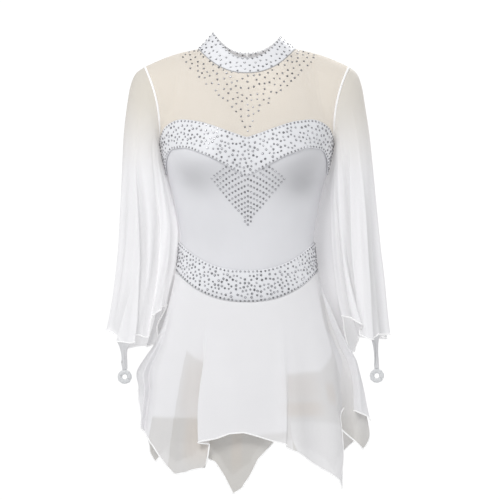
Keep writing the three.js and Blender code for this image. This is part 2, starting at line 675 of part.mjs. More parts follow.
function briefPanel(facing) {
  const sign = facing === 'front' ? -1 : 1;
  const startTurn = facing === 'front' ? -90 : 90;
  const full = BRIEF_FULLNESS[facing];
  return wall(180 / COLUMN, 6, SATIN, (u, v) => {
    const turn = startTurn + 180 * u;
    const across = (2 * u - 1) * -sign;
    const top = torsoPoint(turn, beltFoot(turn) + SEAM);
    const foot = briefFoot(across);
    const outside = Math.abs(across);
    const legDepth = 74 * Math.sin(Math.PI * Math.max(0, (outside - LEG.share) / (1 - LEG.share)));
    foot.y = sign * (legDepth * 0.9 + SEAM / 2);
    const bend = new THREE.Vector3(
      (top.x + foot.x) / 2,
      top.y * full,
      -THREE.MathUtils.lerp(BRIEF_FULLNESS.drop, -(top.z + foot.z) / 2, outside ** 0.7),
    );
    const point = top.multiplyScalar((1 - v) ** 2).addScaledVector(bend, 2 * v * (1 - v));
    point.addScaledVector(foot, v * v);
    if (u === 0 || u === 1) point.y = (sign * SEAM) / 2;
    return point;
  }, { levelTop: true });
}

add('brief_front', briefPanel('front'), satin);
add('brief_back', briefPanel('back'), satin);

// --- the skirt ---

// The sum of the ridges and troughs at a turn, each with its share of its full depth.
function foldHeight(folds, turn, grown) {
  let height = 0;
  for (const fold of folds) {
    const apart = THREE.MathUtils.euclideanModulo(turn - fold.turn + 180, 360) - 180;
    height += fold.depth * grown(fold) * Math.exp(-((apart / fold.width) ** 2));
  }
  return height;
}

function skirtPoint(hem, inside, turn, part) {
  const start = beltFoot(turn) + SEAM;
  const signed = THREE.MathUtils.euclideanModulo(turn + 180, 360) - 180;
  const drop = THREE.MathUtils.lerp(start, straight(hem, 'turn', signed, 'drop'), part);
  const angle = THREE.MathUtils.degToRad(turn);
  const row = ringRow(SKIRT, drop);
  const onLeft = Math.sin(angle) < 0;
  const sideness = Math.abs(Math.sin(angle)) ** FLARE_SHAPE;
  row.side += sideness * curved(onLeft ? LEFT_FLARE : RIGHT_FLARE, 'drop', drop, 'more');
  const grown = (fold) => smoothRise((drop - Math.max(fold.from, start)) / SKIRT_FOLD_REACH);
  const folds = foldHeight(SKIRT_FOLDS, turn, grown) * (inside ? 0.6 : 1);
  const close = onLeft ? 0 : RIGHT_CLOSE * sideness * smoothRise((drop - 560) / 80);
  const gap = inside ? curved(LAYER_GAP, 'drop', Math.max(drop, BELT_FOOT.side), 'gap') : 0;
  return ringPoint(row, angle, drop, 2 * (LIFT + CHIFFON) + folds - gap * (1 - close));
}

function skirtPanel(hem, inside, startTurn) {
  return wall(36, 6, CHIFFON, (u, v) => {
    const point = skirtPoint(hem, inside, startTurn + 180 * u, v);
    if (u === 0 || u === 1) point.y += ((startTurn < 0 ? -1 : 1) * SEAM) / 2;
    return point;
  }, { levelTop: true });
}

add('skirt_upper_front', skirtPanel(UPPER_HEM, false, -90), chiffon);
add('skirt_upper_back', skirtPanel(UPPER_HEM, false, 90), chiffon);
add('skirt_under_front', skirtPanel(UNDER_HEM, true, -90), chiffon);
add('skirt_under_back', skirtPanel(UNDER_HEM, true, 90), chiffon);

// --- the sleeves, straps and finger rings ---

function sleevePoint(hand, turn, part) {
  const left = hand === 'left';
  const table = left ? SLEEVE_LEFT : SLEEVE_RIGHT;
  const lastStep = table[table.length - 1].step;
  const step = part * lastStep;
  const angle = THREE.MathUtils.degToRad(turn);
  const point = sleeveRing(table, hand, angle, step);
  const grown = (fold) => smoothRise((step - fold.from) / (lastStep - fold.from));
  const height = foldHeight(left ? FOLDS_LEFT : FOLDS_RIGHT, turn, grown);
  point.x += height * Math.sin(angle);
  point.y -= height * Math.cos(angle);
  const whole = THREE.MathUtils.euclideanModulo(turn, 360);
  const more = straight(left ? HEM_LEFT : HEM_RIGHT, 'turn', whole, 'more') * part ** HEM_SHAPE;
  const inwards = Math.max(0, left ? Math.sin(angle) : -Math.sin(angle));
  point.x += (left ? -1 : 1) * HEM_SPLAY * more * inwards;
  point.z -= more;
  return point;
}

for (const hand of ['left', 'right']) {
  const cloth = (u, v) => sleevePoint(hand, 360 * u, v);
  add(`sleeve_${hand}`, wall(SLEEVE_COLUMNS, 11, CHIFFON, cloth, { wrapped: true }), chiffon);
}

for (const loop of [LEFT_LOOP, RIGHT_LOOP]) {
  const ringTop = loop.drop - RING.radius - RING.cord;
  const strap = (u, v) => {
    const column = THREE.MathUtils.lerp(loop.from, loop.to, u);
    const hem = sleevePoint(loop.hand, (column * 360) / SLEEVE_COLUMNS, 1);
    hem.z -= STRAP.hemGap;
    const foot = new THREE.Vector3(
      loop.x + (2 * u - 1) * STRAP.footHalf,
      loop.y,
      -ringTop + SEAM,
    );
    return hem.lerp(foot, v ** 0.8);
  };
  add(`finger_strap_${loop.hand}`, wall(loop.to - loop.from, 6, STRAP.wall, strap, { levelTop: true }), chiffon);
  const ring = new THREE.TorusGeometry(RING.radius, RING.cord, 7, 16);
  ring.rotateX(Math.PI / 2);
  ring.translate(loop.x, loop.y + STRAP.wall / 2, -loop.drop);
  add(`finger_ring_${loop.hand}`, ring, elastic);
}

export default dress;
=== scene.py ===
import math

import bpy
import numpy as np
from bpy.props import FloatProperty, FloatVectorProperty, IntProperty, PointerProperty
from mathutils import Matrix


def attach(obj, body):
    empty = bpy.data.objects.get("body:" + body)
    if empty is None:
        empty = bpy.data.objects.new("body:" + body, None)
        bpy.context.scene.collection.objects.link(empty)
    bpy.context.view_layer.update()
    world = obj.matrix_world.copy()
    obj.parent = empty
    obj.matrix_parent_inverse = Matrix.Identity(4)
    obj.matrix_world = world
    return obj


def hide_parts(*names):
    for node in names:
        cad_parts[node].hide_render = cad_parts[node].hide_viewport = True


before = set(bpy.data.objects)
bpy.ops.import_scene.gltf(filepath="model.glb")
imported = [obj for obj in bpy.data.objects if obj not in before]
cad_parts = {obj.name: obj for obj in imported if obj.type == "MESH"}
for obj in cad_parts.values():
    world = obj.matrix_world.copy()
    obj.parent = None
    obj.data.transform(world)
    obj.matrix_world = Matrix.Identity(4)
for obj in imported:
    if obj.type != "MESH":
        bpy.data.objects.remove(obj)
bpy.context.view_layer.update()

bl_info = {
    "name": "Figure Skating Dress",
    "version": (1, 0, 0),
    "blender": (4, 5, 0),
    "location": "3D View > Sidebar > Dress",
    "description": "Dresses a fixed frame as a figure skating dress in satin, mesh and chiffon",
    "category": "Object",
}

# The tables are in millimetres and degrees. "drop" is a distance below the neck's centre, "turn"
# an angle round the body or a sleeve: 0 at the centre front, 90 at +X, 180 at the centre back.

MM = 0.001
SIDE = {"left": -1, "right": 1}
BODY = "root"


def table(columns, *rows):
    """A table with named columns, read as one array for each column."""
    return {name: np.array(column, float) for name, column in zip(columns.split(), zip(*rows))}


# The gap at a seam, the walls of the cloths, and how far one lies above the next.
SEAM = 0.4
SATIN = 1.2
BAND = 1.6
CHIFFON = 1.0
LIFT = 0.6
WAIST_LIFT = 0.4

TORSO = table(
    "drop side front back",
    (110, 172, 98, 92),
    (172, 165, 110, 95),
    (215, 157, 111, 93),
    (243, 150, 106, 90),
    (300, 137, 97, 84),
    (367, 127, 92, 82),
    (424, 132, 94, 90),
    (482, 139, 97, 104),
    (560, 142, 94, 112),
)
SQUARENESS = 0.87
# The share of a panel along each of its edges where the hollows below fade out.
PANEL_EDGE = 0.1
# Soft hollows and rises of the satin: half sizes round the body and down, and how far out.
DRAPE = table(
    "turn drop wide tall out",
    (-48, 258, 23, 33, -14), (55, 256, 22, 34, -16), (0, 262, 16, 30, 2.5),
    (-30, 330, 10, 40, 1.6), (26, 320, 9, 36, -1.6), (62, 320, 9, 40, 1.6),
    (-66, 318, 8, 36, -1.4), (150, 300, 12, 50, -2.5), (-152, 290, 12, 56, -2.5),
    (180, 330, 14, 40, -3), (120, 330, 9, 34, 1.8), (-118, 336, 9, 30, 1.8),
)
BUST = {"apart": 80, "drop": 212, "wide": 50, "tall": 46, "height": 17}
# Painted shade below the bust: where the satin turns in there it is painted darker, less so at the
# centre front.
UNDER_BUST = table(
    "turn drop wide tall share",
    (-42, 256, 25, 36, 0.72), (47, 250, 28, 44, 0.95), (2, 262, 20, 30, -0.12),
)

COLLAR_RIM = {
    "side": 63, "front": 54, "back": 50,
    "front_drop": 22, "left_drop": -29, "right_drop": -21, "back_drop": 7,
}
COLLAR_FOOT = {
    "side": 92, "front": 68, "back": 64,
    "front_drop": 47, "left_drop": 2, "right_drop": 2, "back_drop": 30,
}
# The lip is where the collar's cloth laps over the yoke's edge.
COLLAR_LIP = {**COLLAR_FOOT, "front": 70.5, "front_drop": 50.5}
COLLAR_SWEEP = 2.3
COLLAR_SLIT = 0.8
COLLAR_MIDDLE = (0, 0, -120)
BUTTON = {"place": (0, 0.0621, -0.0172), "radius": 0.005}

SWEETHEART = table(
    "turn drop",
    (0, 173), (8, 163), (20, 150), (29, 143), (43, 139), (64, 152), (76, 165), (83, 170), (90, 172),
)
BAND_FOOT = table(
    "turn drop",
    (0, 247), (13, 224), (27, 205), (45, 193), (57, 195), (70, 210), (82, 232), (90, 243),
)
BAND_TUCK = {"from": 60, "share": 0.155}
BACK_EDGE = {"side": 172, "front_dip": 0, "back_dip": 24}
YOKE_SLIT = 0.2
SHOULDER_SHARE = 5 / 24
SHOULDER_RISE = 4.5
YOKE_SHAPE = {
    "fullness": 15, "chest": 2, "rise": 0.5, "reach": 0.4, "softness": 0.5, "high": 0.8, "flat": 4,
}
BELT_TOP = {"side": 369, "front_dip": 53, "back_dip": 14}
BELT_FOOT = {"side": 424, "front_dip": 58, "back_dip": 20}

LEG = {
    "side_drop": 548, "crotch_drop": 652, "crotch_half": 36, "depth": 66.6,
    "rise": 1.7, "spread": 0.8, "share": 0.28,
}
BRIEF_FULLNESS = {"front": 0.98, "back": 1.08, "drop": 640, "shape": 0.7}

SKIRT = table(
    "drop side front back",
    (400, 130, 94, 88),
    (424, 132, 95, 92),
    (482, 143, 104, 115),
    (572, 166, 129, 142),
    (661, 189, 150, 162),
    (750, 205, 170, 180),
    (840, 213, 182, 191),
)
LEFT_FLARE = table(
    "drop more",
    (424, 0), (520, 2), (560, 8), (590, 20), (615, 27), (650, 14), (700, 9), (740, 4), (840, 0),
)
RIGHT_FLARE = table(
    "drop more",
    (424, 0), (450, 2), (470, 4), (490, 7), (510, 10), (530, 14), (560, 24), (600, 36),
    (640, 36), (680, 35), (720, 36), (760, 32), (800, 12), (840, 0),
)
FLARE_SHAPE = 6
# How much nearer the under layer lies on the right, and where and over what length that grows.
RIGHT_CLOSE = 0.75
RIGHT_CLOSE_GROWTH = (560, 80)
LAYER_GAP = table("drop gap", (424, 1.7), (470, 2.4), (520, 7), (600, 16), (840, 24))
UPPER_HEM = table(
    "turn drop",
    (-180, 722), (-160, 768), (-142.5, 796), (-125, 735), (-108, 668), (-90, 650), (-77, 701),
    (-68, 720), (-54, 750), (-37.5, 801), (-30, 797), (-22.3, 787), (-21, 744), (-18, 741),
    (-7, 724), (-1, 722), (7, 733), (17.5, 746), (34, 781), (49, 813), (51.7, 829), (53, 818),
    (55, 716), (63, 680), (80, 706), (88, 700), (97, 690), (108, 700), (120, 760), (129, 812),
    (148, 772), (180, 722),
)
UNDER_HEM = table(
    "turn drop",
    (-180, 800), (-174, 824), (-167, 785), (-158, 750), (-135, 716), (-105, 700), (-90, 722),
    (-80, 747), (-60, 781), (-46, 744), (-28, 746), (-14, 777), (-9.3, 805), (-5.3, 836),
    (-1.6, 826), (4.4, 773), (12.2, 741), (18, 735), (36, 716), (52, 712), (59, 716), (72, 759),
    (84, 730), (105, 690), (135, 712), (160, 728), (168, 736), (175.6, 772), (180, 800),
)
# The skirt's ridges and troughs: width in degrees, depth at the hem and the drop of the start.
SKIRT_FOLDS = table(
    "turn width depth start",
    (-170, 9, 10, 460), (-152, 9, -9, 480), (-134, 9, 11, 470), (-114, 9, -8, 450),
    (-96, 8, 7, 500), (-78, 7, -6, 520), (-62, 8, 6, 470), (-33, 8, -9, 500), (-17, 9, 9, 490),
    (4, 9, -4, 560), (22, 6, 8, 500), (33, 7, -8, 520), (46, 7, 8, 480), (60, 6, -6, 470),
    (74, 7, 8, 450), (90, 7, -6, 470), (107, 8, 9, 460), (124, 8, -8, 480), (143, 9, 11, 470),
    (161, 8, -9, 480),
)
SKIRT_FOLD_REACH = 300
# The shares of the folds and of the pleats that the under layer has.
UNDER_SHARES = (0.6, 0.25)
# Pleats, where the cloth laps over itself: how far each drifts by the hem, its width and lap in
# degrees, how far the cloth on its right stands forward, how deep the cloth that lies behind is
# hollowed beside it, and where and over what length it grows.
PLEAT_COLUMNS = "turn drift width lap forward recess start reach"
PLEAT_WAVE = {"height": 2.33, "behind": 1.9, "spread": 1.6}
SKIRT_PLEATS = table(
    PLEAT_COLUMNS,
    (-27, 8, 3.4, 4.6, 6, 0, 500, 200), (24, -6.5, 3.6, 1.6, -4, 0, 500, 240),
    (82, -14.5, 3.6, 4.5, 8, 11, 440, 90), (-75, 8, 3.4, 3.6, -7, 4, 470, 180),
    (112, 4, 3.4, 3.0, 5, 3, 470, 200), (150, 4, 3.4, 3.6, -5, 3, 480, 200),
    (-112, -4, 3.4, 3.0, -5, 3, 480, 200), (-150, -3, 3.4, 3.8, 5, 3, 470, 200),
    (178, 0, 3.0, 2.8, 4, 0, 520, 200),
)
SKIRT_DRIFT_REACH = 240
# The drops where the upper layer starts to look sheer and is painted darker, first below the brief
# and then below the under layer, and where it looks whiter again because it is folded double.
# The darker tone is painted shade, for the shaded inside of the skirt that shows through.
SHEER_AND_SHADE = table(
    "turn first second third",
    (-180, 600, 700, 900), (-110, 600, 700, 900), (-104, 715, 900, 900), (-66, 715, 900, 900),
    (-58, 900, 694, 900), (-43, 900, 694, 900), (-39, 568, 694, 900), (-22.5, 596, 694, 900),
    (-20, 735, 900, 900), (19.5, 715, 900, 900), (22, 612, 735, 700), (34, 608, 900, 700),
    (45, 606, 900, 702), (58, 580, 900, 706), (64, 560, 900, 900), (70, 900, 900, 900),
    (104, 900, 900, 900), (110, 600, 700, 900), (180, 600, 700, 900),
)
# The lengths over which those steps show, and how much whiter each makes the cloth; the steps
# that make it less white are painted shade.
SHEER_AND_SHADE_STEPS = (("first", 9, -0.30), ("second", 5, -0.44), ("third", 7, 0.14))
# How the under layer is painted darker towards its hem: painted shade.
UNDER_PAINTED_SHADE = {"most": 0.7, "less": 0.62, "growth": (600, 180)}
# The painted shade of the skirt: at its base, for a millimetre of hollow, and at most.
SKIRT_SHADE = {"base": 0.03, "painted_shade": 0.028, "most": 0.8}
# Where a warmer light comes through: the share on the upper and on the under layer.
WARM = table(
    "turn drop wide tall upper under",
    (-30, 640, 8, 55, 0.22, 0), (-26, 735, 7, 42, 0.38, 0), (30, 640, 12, 26, 0.18, 0),
    (30, 680, 12, 14, 0.36, 0), (50, 652, 4, 20, 0.28, 0), (-4, 750, 2.5, 42, 0, 0.30),
)

SLEEVE_COLUMNS = "step outer outer_drop inner inner_drop depth inward tuck"
SLEEVE_LEFT = table(
    SLEEVE_COLUMNS,
    (0, 194, 36, 165, 172, 48, 9.5, 0), (1, 211, 49, 167, 185, 49, 7, 6),
    (2, 221, 72, 164, 200, 47, 4, 12), (3, 228, 112, 160, 224, 45, 1, 15),
    (4, 234, 165, 151, 256, 45, 0, 18), (5, 237.5, 230, 141, 298, 46, 0, 22),
    (6, 241, 302, 133, 350, 49, 0, 26), (7, 243.5, 376, 136, 400, 53, 0, 27),
    (8, 249, 440, 143, 440, 58, 0, 24), (9, 256.5, 490, 149, 468, 63, 0, 20),
    (10, 265, 528, 152, 488, 68, 0, 8),
)
SLEEVE_RIGHT = table(
    SLEEVE_COLUMNS,
    (0, 194, 36, 165, 172, 48, 9.5, 0), (1, 209, 49, 168, 185, 49, 7, 8),
    (2, 218, 72, 167, 200, 47, 4, 15), (3, 225, 112, 165, 224, 45, 1, 20),
    (4, 233, 165, 163, 256, 45, 0, 28), (5, 240, 230, 162, 298, 46, 0, 41),
    (6, 247, 302, 163, 350, 49, 0, 52), (7, 253, 376, 166, 402, 53, 0, 54),
    (8, 260, 440, 171, 450, 58, 0, 45), (9, 265, 490, 176, 484, 63, 0, 32),
    (10, 270, 530, 181, 508, 68, 0, 10),
)
HEM_LEFT = table(
    "turn more",
    (0, 33), (14, 42), (26, 51), (31, 48), (37, 10), (60, 3), (90, 0), (105, 32), (125, 68),
    (150, 70), (180, 60), (212, 56), (235, 16), (250, 2), (270, 0), (305, 15), (330, 38),
    (350, 48), (357, 49), (360, 33),
)
HEM_RIGHT = table(
    "turn more",
    (0, 31), (18, 30), (33, 17), (68, 14), (90, 8), (130, 26), (170, 32), (195, 34), (206, 64),
    (225, 72), (245, 58), (258, 22), (270, 0), (329, 2), (340, 8), (345, 27), (360, 31),
)
HEM_SHAPE = 5
HEM_SPLAY = 0.3
LAST_STEP = 10.0
TUCK = {"turn": 140, "width": 26}
# The share of its width that a sleeve's flute has at its top and foot, and how fast it grows.
FLUTE = {"top": 0.7, "foot": 1.2, "growth": 1.5}
FOLDS_LEFT = table(
    "turn drift width depth start",
    (64, 4, 9, -7, 3), (-50, -6, 9, -5, 3.4), (46, 4, 9, 5, 4.5), (4, 10, 10, 5, 4),
    (104, 4, 8, -7, 4), (128, 2, 9, 6, 5), (172, 0, 10, 6, 4), (226, 2, 8, -9, 3),
    (270, 2, 8, -6, 4.4), (292, -2, 9, 5, 4.4), (312, -3, 8, 5, 5),
    (52, -22, 5, 3, 0.9), (72, -26, 5, -3.5, 1.1), (32, -22, 5, -3, 0.8), (92, -18, 5, 3, 1.5),
    (-20, -8, 6, 2.5, 1.2),
)
FOLDS_RIGHT = table(
    "turn drift width depth start",
    (54, -8, 9, -6, 3.8), (-20, -4, 9, 5, 3.4), (14, -14, 9, 5, 4.4), (70, -4, 9, 5, 4.5),
    (92, 0, 8, -6, 5), (138, 0, 10, 6, 4), (182, 0, 10, 6, 4), (226, 0, 10, 5, 4),
    (250, 0, 9, 5, 5), (306, 2, 8, -6, 4), (-52, 22, 5, 3, 0.9), (-72, 26, 5, -3.5, 1.1),
    (-32, 22, 5, -3, 0.8), (-92, 18, 5, 3, 1.5), (20, 8, 6, 2.5, 1.2),
)
PLEATS_LEFT = table(
    PLEAT_COLUMNS,
    (24, 9, 6, 6, 3.5, 6, 4.4, 3), (-31, 28, 6, 5, -3.5, 7, 3.2, 4), (-18, -42, 6, 4, 3, 4, 7.2, 2),
    (160, -4, 7, 5, 4, 3, 3.6, 3), (200, 6, 7, 6, -4, 6, 3.2, 4), (250, 4, 7, 5, 4, 5, 4.4, 3),
)
PLEATS_RIGHT = table(
    PLEAT_COLUMNS,
    (-4, -12, 6, 5, 3.5, 7, 2.6, 4), (-36, 24, 6, 5, -3.5, 6, 5.8, 2.6),
    (32, -18, 6, 4, -3, 6, 4.4, 3), (118, 4, 7, 5, 4, 5, 4, 3), (160, -4, 7, 6, 4, 6, 3.2, 4),
    (192, 0, 6, 4, 3, 4, 3.6, 3),
)
SLEEVE_DRIFT_REACH = 6
SLEEVE_TABLES = {
    "left": (SLEEVE_LEFT, HEM_LEFT, FOLDS_LEFT, PLEATS_LEFT),
    "right": (SLEEVE_RIGHT, HEM_RIGHT, FOLDS_RIGHT, PLEATS_RIGHT),
}
# The painted shade of a sleeve: at its base, on each side, for a millimetre of hollow and inside
# its foot; then the starts and lengths over which the inside, the white and the shine, a painted
# glow, grow, the last one also by the sine of the turn.
SLEEVE_SHADE = {
    "base": 0.01, "left": 0.12, "right": 0.16, "painted_shade": 0.105, "inside": 0.75, "most": 0.95,
    "inside_growth": (7.5, 2), "white_growth": (70, 190), "shine_growth": (220, 160),
    "shine_turn": (0.1 / 1.3, 1 / 1.3),
}
ARMHOLE_SHARE = 1.4

# The turns of the sleeve's hem that each strap hangs from, in 28ths of the way round.
STRAP_TURNS = {"left": (25 * 360 / 28, 27 * 360 / 28), "right": (360 / 28, 3 * 360 / 28)}
STRAP = {
    "wall": 1.4, "foot_half": 4.5, "taper": 0.8, "pinch": 0.4, "pinch_shape": 0.7, "ridge": 1.1,
}
# The middle of each finger loop: x, y and drop.
LOOP = {"left": (-230, -56, 623), "right": (245, -56, 621)}
RING = {"radius": 9, "cord": 4.4, "least": 0.93, "gather": 0.1, "gathers": 11, "ripple": 0.04}

# Each kind of sheet: the rectangle it is cut from in metres, how it is held, its material, its
# slot and its wall, which the sheer ones don't have.
SHEETS = {
    "bodice": ((0.46, 0.34), "stretched", "satin", "satin", SATIN),
    "brief": ((0.40, 0.24), "stretched", "satin", "satin", SATIN),
    "bust_band": ((0.44, 0.10), "stretched", "band", "stoned_satin", BAND),
    "belt_front": ((0.38, 0.10), "stretched", "band", "stoned_satin", BAND),
    "belt_back": ((0.36, 0.08), "stretched", "band", "stoned_satin", BAND),
    "collar": ((0.46, 0.05), "stretched", "band", "stoned_satin", BAND),
    "yoke_front": ((0.42, 0.20), "stretched", "yoke", "nude_mesh", None),
    "yoke_back": ((0.22, 0.22), "stretched", "yoke", "nude_mesh", None),
    "skirt": ((0.62, 0.42), "gathered", "skirt", "chiffon", None),
    "sleeve": ((0.50, 0.52), "gathered", "sleeve", "chiffon", None),
    "finger_strap": ((0.03, 0.06), "hung", "strap", "chiffon", STRAP["wall"]),
}

# A stone's outline: the radius and height of its back, girdle and table, as shares of its width.
STONE_SIDES = 8
STONE_RINGS = ((0.5, -0.04), (0.5, 0.10), (0.29, 0.36))
STONE_TILT = 0.05
# The most that painted sparkle lightens a stone's side facets.
STONE_EDGE_LIGHT = 0.55
SCATTER_TRIES = 5000
ROW_INSET = 3.0
# The parts of the way down the collar that have loose stones, outside and inside, and the turn
# from which its inside shows.
COLLAR_STONES = {"outer": (0.12, 0.93), "inner": (0.08, 0.6), "inner_from": 112, "inner_size": 0.97}
FRONT_MIDDLE = 2
# The lower edge of the yoke's V by distance from the centre front.
YOKE_V = table(
    "side drop",
    (0, 163), (6, 153), (12, 144), (18, 133), (29, 118), (42, 106), (54, 94), (74, 76), (87, 64),
    (99, 53), (119, 30), (126, 20),
)
# The bodice's lozenge, and the drops of its rows at the centre front.
LOZENGE = {
    "half": 71, "shoulder": 260, "tip": 337, "slope": 0.4, "curve": 0.0036,
    "spacing": 6.7, "level_share": 0.86, "body_half": 150,
}
LOZENGE_ROWS = (207, 218, 229, 240, 251, 262, 273, 283, 293, 302, 311, 320, 328, 336)

# The knit's wales are 1.2 mm apart; a wave texture's scale counts them in radians.
KNIT_SCALE = 1 / 0.0012 / 6.283
# How dark the painted shade below the bust makes the satin.
SATIN_PAINTED_SHADE = 0.7
# The grey that a sheer cloth's painted shade turns it towards.
SHEER_PAINTED_GREY = 0.72
SHEER_WARM = (0.66, 0.57, 0.49, 1.0)
# The colours of the painted glow of sheer cloth: at its base, and where it shines most.
GLOW_COLOUR = (0.5, 0.495, 0.49, 1.0)
SHINE_COLOUR = (1.0, 0.99, 0.98, 1.0)
# The colour the skirt's chiffon is painted where it is single: a painted shade.
SKIRT_SHEER_PAINTED_SHADE = (0.54, 0.52, 0.485)
SLEEVE_SHEER = (0.66, 0.61, 0.52)

# The stage is in metres. The world has one colour and strength for the camera and one for light.
FLOOR = -1.25
FLOOR_RADIUS = 1.85
WORLD_SEEN = ((1, 1, 1, 1), 1.05)
WORLD_LIGHT = ((0.97, 0.98, 1, 1), 0.44)
TARGET = (0.006, 0.0, -0.384)
CAMERA = (0.006, -6.5, -0.384)
LENS = 246.3
LIGHTS = (
    ("key", (-0.8, -2.0, 1.5), 1.2, 35.0),
    ("left", (-2.5, -0.7, 0.3), 1.4, 6.0),
    ("right", (2.5, -0.8, 0.3), 1.4, 9.0),
    ("back", (0.9, 1.9, 1.5), 1.6, 40.0),
)


# --- numbers and tables ---


def straight(rows, column, place):
    """A column's value at a place in a table's first column, on straight lines."""
    return np.interp(place, next(iter(rows.values())), rows[column])


def curved(rows, column, place):
    """The same on a smooth curve through the rows that never overshoots them."""
    x, y = next(iter(rows.values())), rows[column]
    place = np.clip(place, x[0], x[-1])
    index = np.clip(np.searchsorted(x, place, side="right") - 1, 0, len(x) - 2)
    rise = np.diff(y) / np.diff(x)
    slope = np.append(rise, rise[-1])
    before, after = rise[:-1], rise[1:]
    agree = before * after > 0
    slope[1:-1] = np.where(agree, 2 * before * after / np.where(agree, before + after, 1), 0)
    span = x[index + 1] - x[index]
    part = (place - x[index]) / span
    square, cube = part**2, part**3
    return (
        (2 * cube - 3 * square + 1) * y[index]
        + (cube - 2 * square + part) * span * slope[index]
        + (3 * square - 2 * cube) * y[index + 1]
        + (cube - square) * span * slope[index + 1]
    )


def power(value, exponent):
    return np.sign(value) * np.abs(value) ** exponent


def smooth(value, start=0.0, reach=1.0):
    """Rises softly from 0 at the start to 1 a reach further on."""
    part = np.clip((value - start) / reach, 0, 1)
    return part * part * (3 - 2 * part)


def bell(part):
    return np.exp(-(part**2))


def mix(first, second, part):
    return first + (second - first) * part


def circle(turn):
    """The sine and the cosine of a turn."""
    return np.sin(np.radians(turn)), np.cos(np.radians(turn))


def around(turn, middle=0.0):
    """How far a turn lies from another one, from -180 to 180."""
    return (turn - middle + 180) % 360 - 180


def together(*values):
    """Values as arrays of one shape."""
    return np.broadcast_arrays(*(np.asarray(value, float) for value in values))


def points(x, y, z):
    return np.stack(np.broadcast_arrays(x, y, z), -1).astype(float)


def grid(columns, rows):
    return np.meshgrid(np.linspace(0, 1, columns + 1), np.linspace(0, 1, rows + 1), indexing="ij")


# --- the forms, in millimetres ---


def mounds(rows, turn, drop, column, exponent=2):
    """The sum at a turn and a drop of the soft mounds that a table lists."""
    total = 0.0
    columns = (rows[name] for name in ("turn", "drop", "wide", "tall", column))
    for middle, height, wide, tall, most in zip(*columns):
        across, down = around(turn, middle) / wide, (drop - height) / tall
        total = total + most * np.exp(-(across**exponent) - down**exponent)
    return total


def ring_point(rows, turn, drop, out, wider=0.0):
    """A point of a form round the body, moved level outwards."""
    side, front, back = (curved(rows, name, drop) for name in ("side", "front", "back"))
    side = side + wider
    sine, cosine = circle(turn)
    depth = np.where(cosine > 0, front, back)
    away = np.stack(np.broadcast_arrays(sine / side, -cosine / depth), -1)
    away = away / np.linalg.norm(away, axis=-1, keepdims=True)
    x = side * power(sine, SQUARENESS) + away[..., 0] * out
    y = -depth * power(cosine, SQUARENESS) + away[..., 1] * out
    return points(x, y, -drop)


def torso_point(turn, drop, out=0.0):
    turn, drop = together(turn, drop)
    place = ring_point(TORSO, turn, drop, out)
    ahead = np.sqrt(np.clip(circle(turn)[1], 0, 1))
    height = BUST["height"] * bell((drop - BUST["drop"]) / BUST["tall"]) * ahead
    for middle in (-BUST["apart"], BUST["apart"]):
        place[..., 1] -= height * bell((place[..., 0] - middle) / BUST["wide"])
    return place


def dipped(edge, turn):
    cosine = circle(turn)[1]
    return edge["side"] + np.where(cosine > 0, edge["front_dip"], edge["back_dip"]) * cosine**2


def belt_top(turn):
    return dipped(BELT_TOP, turn)


def belt_foot(turn):
    return dipped(BELT_FOOT, turn)


def back_edge(turn):
    return dipped(BACK_EDGE, turn)


def sweetheart(turn):
    return curved(SWEETHEART, "drop", np.abs(turn))


def band_foot(turn):
    return curved(BAND_FOOT, "drop", np.abs(turn))


def band_top(turn):
    tuck = BAND_TUCK["share"] * smooth(np.abs(turn), BAND_TUCK["from"], 90 - BAND_TUCK["from"])
    return mix(sweetheart(turn), band_foot(turn), tuck)


def collar_point(ring, turn, lower=0.0):
    sine, cosine = circle(turn)
    middle = np.where(cosine > 0, ring["front_drop"], ring["back_drop"])
    side_drop = np.where(sine < 0, ring["left_drop"], ring["right_drop"])
    fall = middle + (side_drop - middle) * np.abs(sine) ** COLLAR_SWEEP
    depth = np.where(cosine > 0, ring["front"], ring["back"])
    return points(ring["side"] * sine, -depth * cosine, -fall - lower)


def collar_grid(columns, rows, last_turn):
    """Points of the collar's cloth from rim to lip, with their turns and parts of the way."""
    u, v = grid(columns, rows)
    turn = mix(-last_turn, last_turn, u)
    rim, lip = collar_point(COLLAR_RIM, turn), collar_point(COLLAR_LIP, turn)
    return mix(rim, lip, v[..., None]), turn, v


def pleated(pleats, turn, place, top, drift_reach, share=1.0):
    """Where a pleated sheet's points move: their new turns and how far out they stand.

    The sheet hangs from its top, and each pleat drifts aside over the drift's reach.
    """
    bent, rise = turn, 0.0
    for middle, drift, width, lap, forward, recess, start, reach in zip(*pleats.values()):
        below = place - np.maximum(start, top)
        grown = smooth(below, 0.0, reach) * share
        apart = around(turn - middle, drift * np.clip(below / drift_reach, 0, 1)) / width
        wave = PLEAT_WAVE["height"] * apart * bell(apart) * grown
        behind = (apart + PLEAT_WAVE["behind"] * np.sign(forward)) ** 2
        bent = bent - lap * wave
        rise = rise + forward * wave - recess * grown * np.exp(-behind / PLEAT_WAVE["spread"])
    return bent, rise


def sleeve_ring(hand, turn, step):
    """A point on a sleeve's plain form, before its folds."""
    rows = SLEEVE_TABLES[hand][0]
    row = {name: curved(rows, name, step) for name in rows}
    sine, cosine = circle(turn)
    outwards = SIDE[hand] * sine
    middle, half = (row["outer"] + row["inner"]) / 2, (row["outer"] - row["inner"]) / 2
    fall = (row["outer_drop"] + row["inner_drop"]) / 2
    lean = (row["outer_drop"] - row["inner_drop"]) / 2
    round_inside = np.degrees(np.arctan2(-outwards, cosine))
    tuck = bell((round_inside - TUCK["turn"]) / TUCK["width"]) * row["tuck"]
    x = middle + half * outwards - row["inward"] * cosine**2 - tuck
    return points(SIDE[hand] * x, -row["depth"] * cosine, -(fall + lean * outwards))


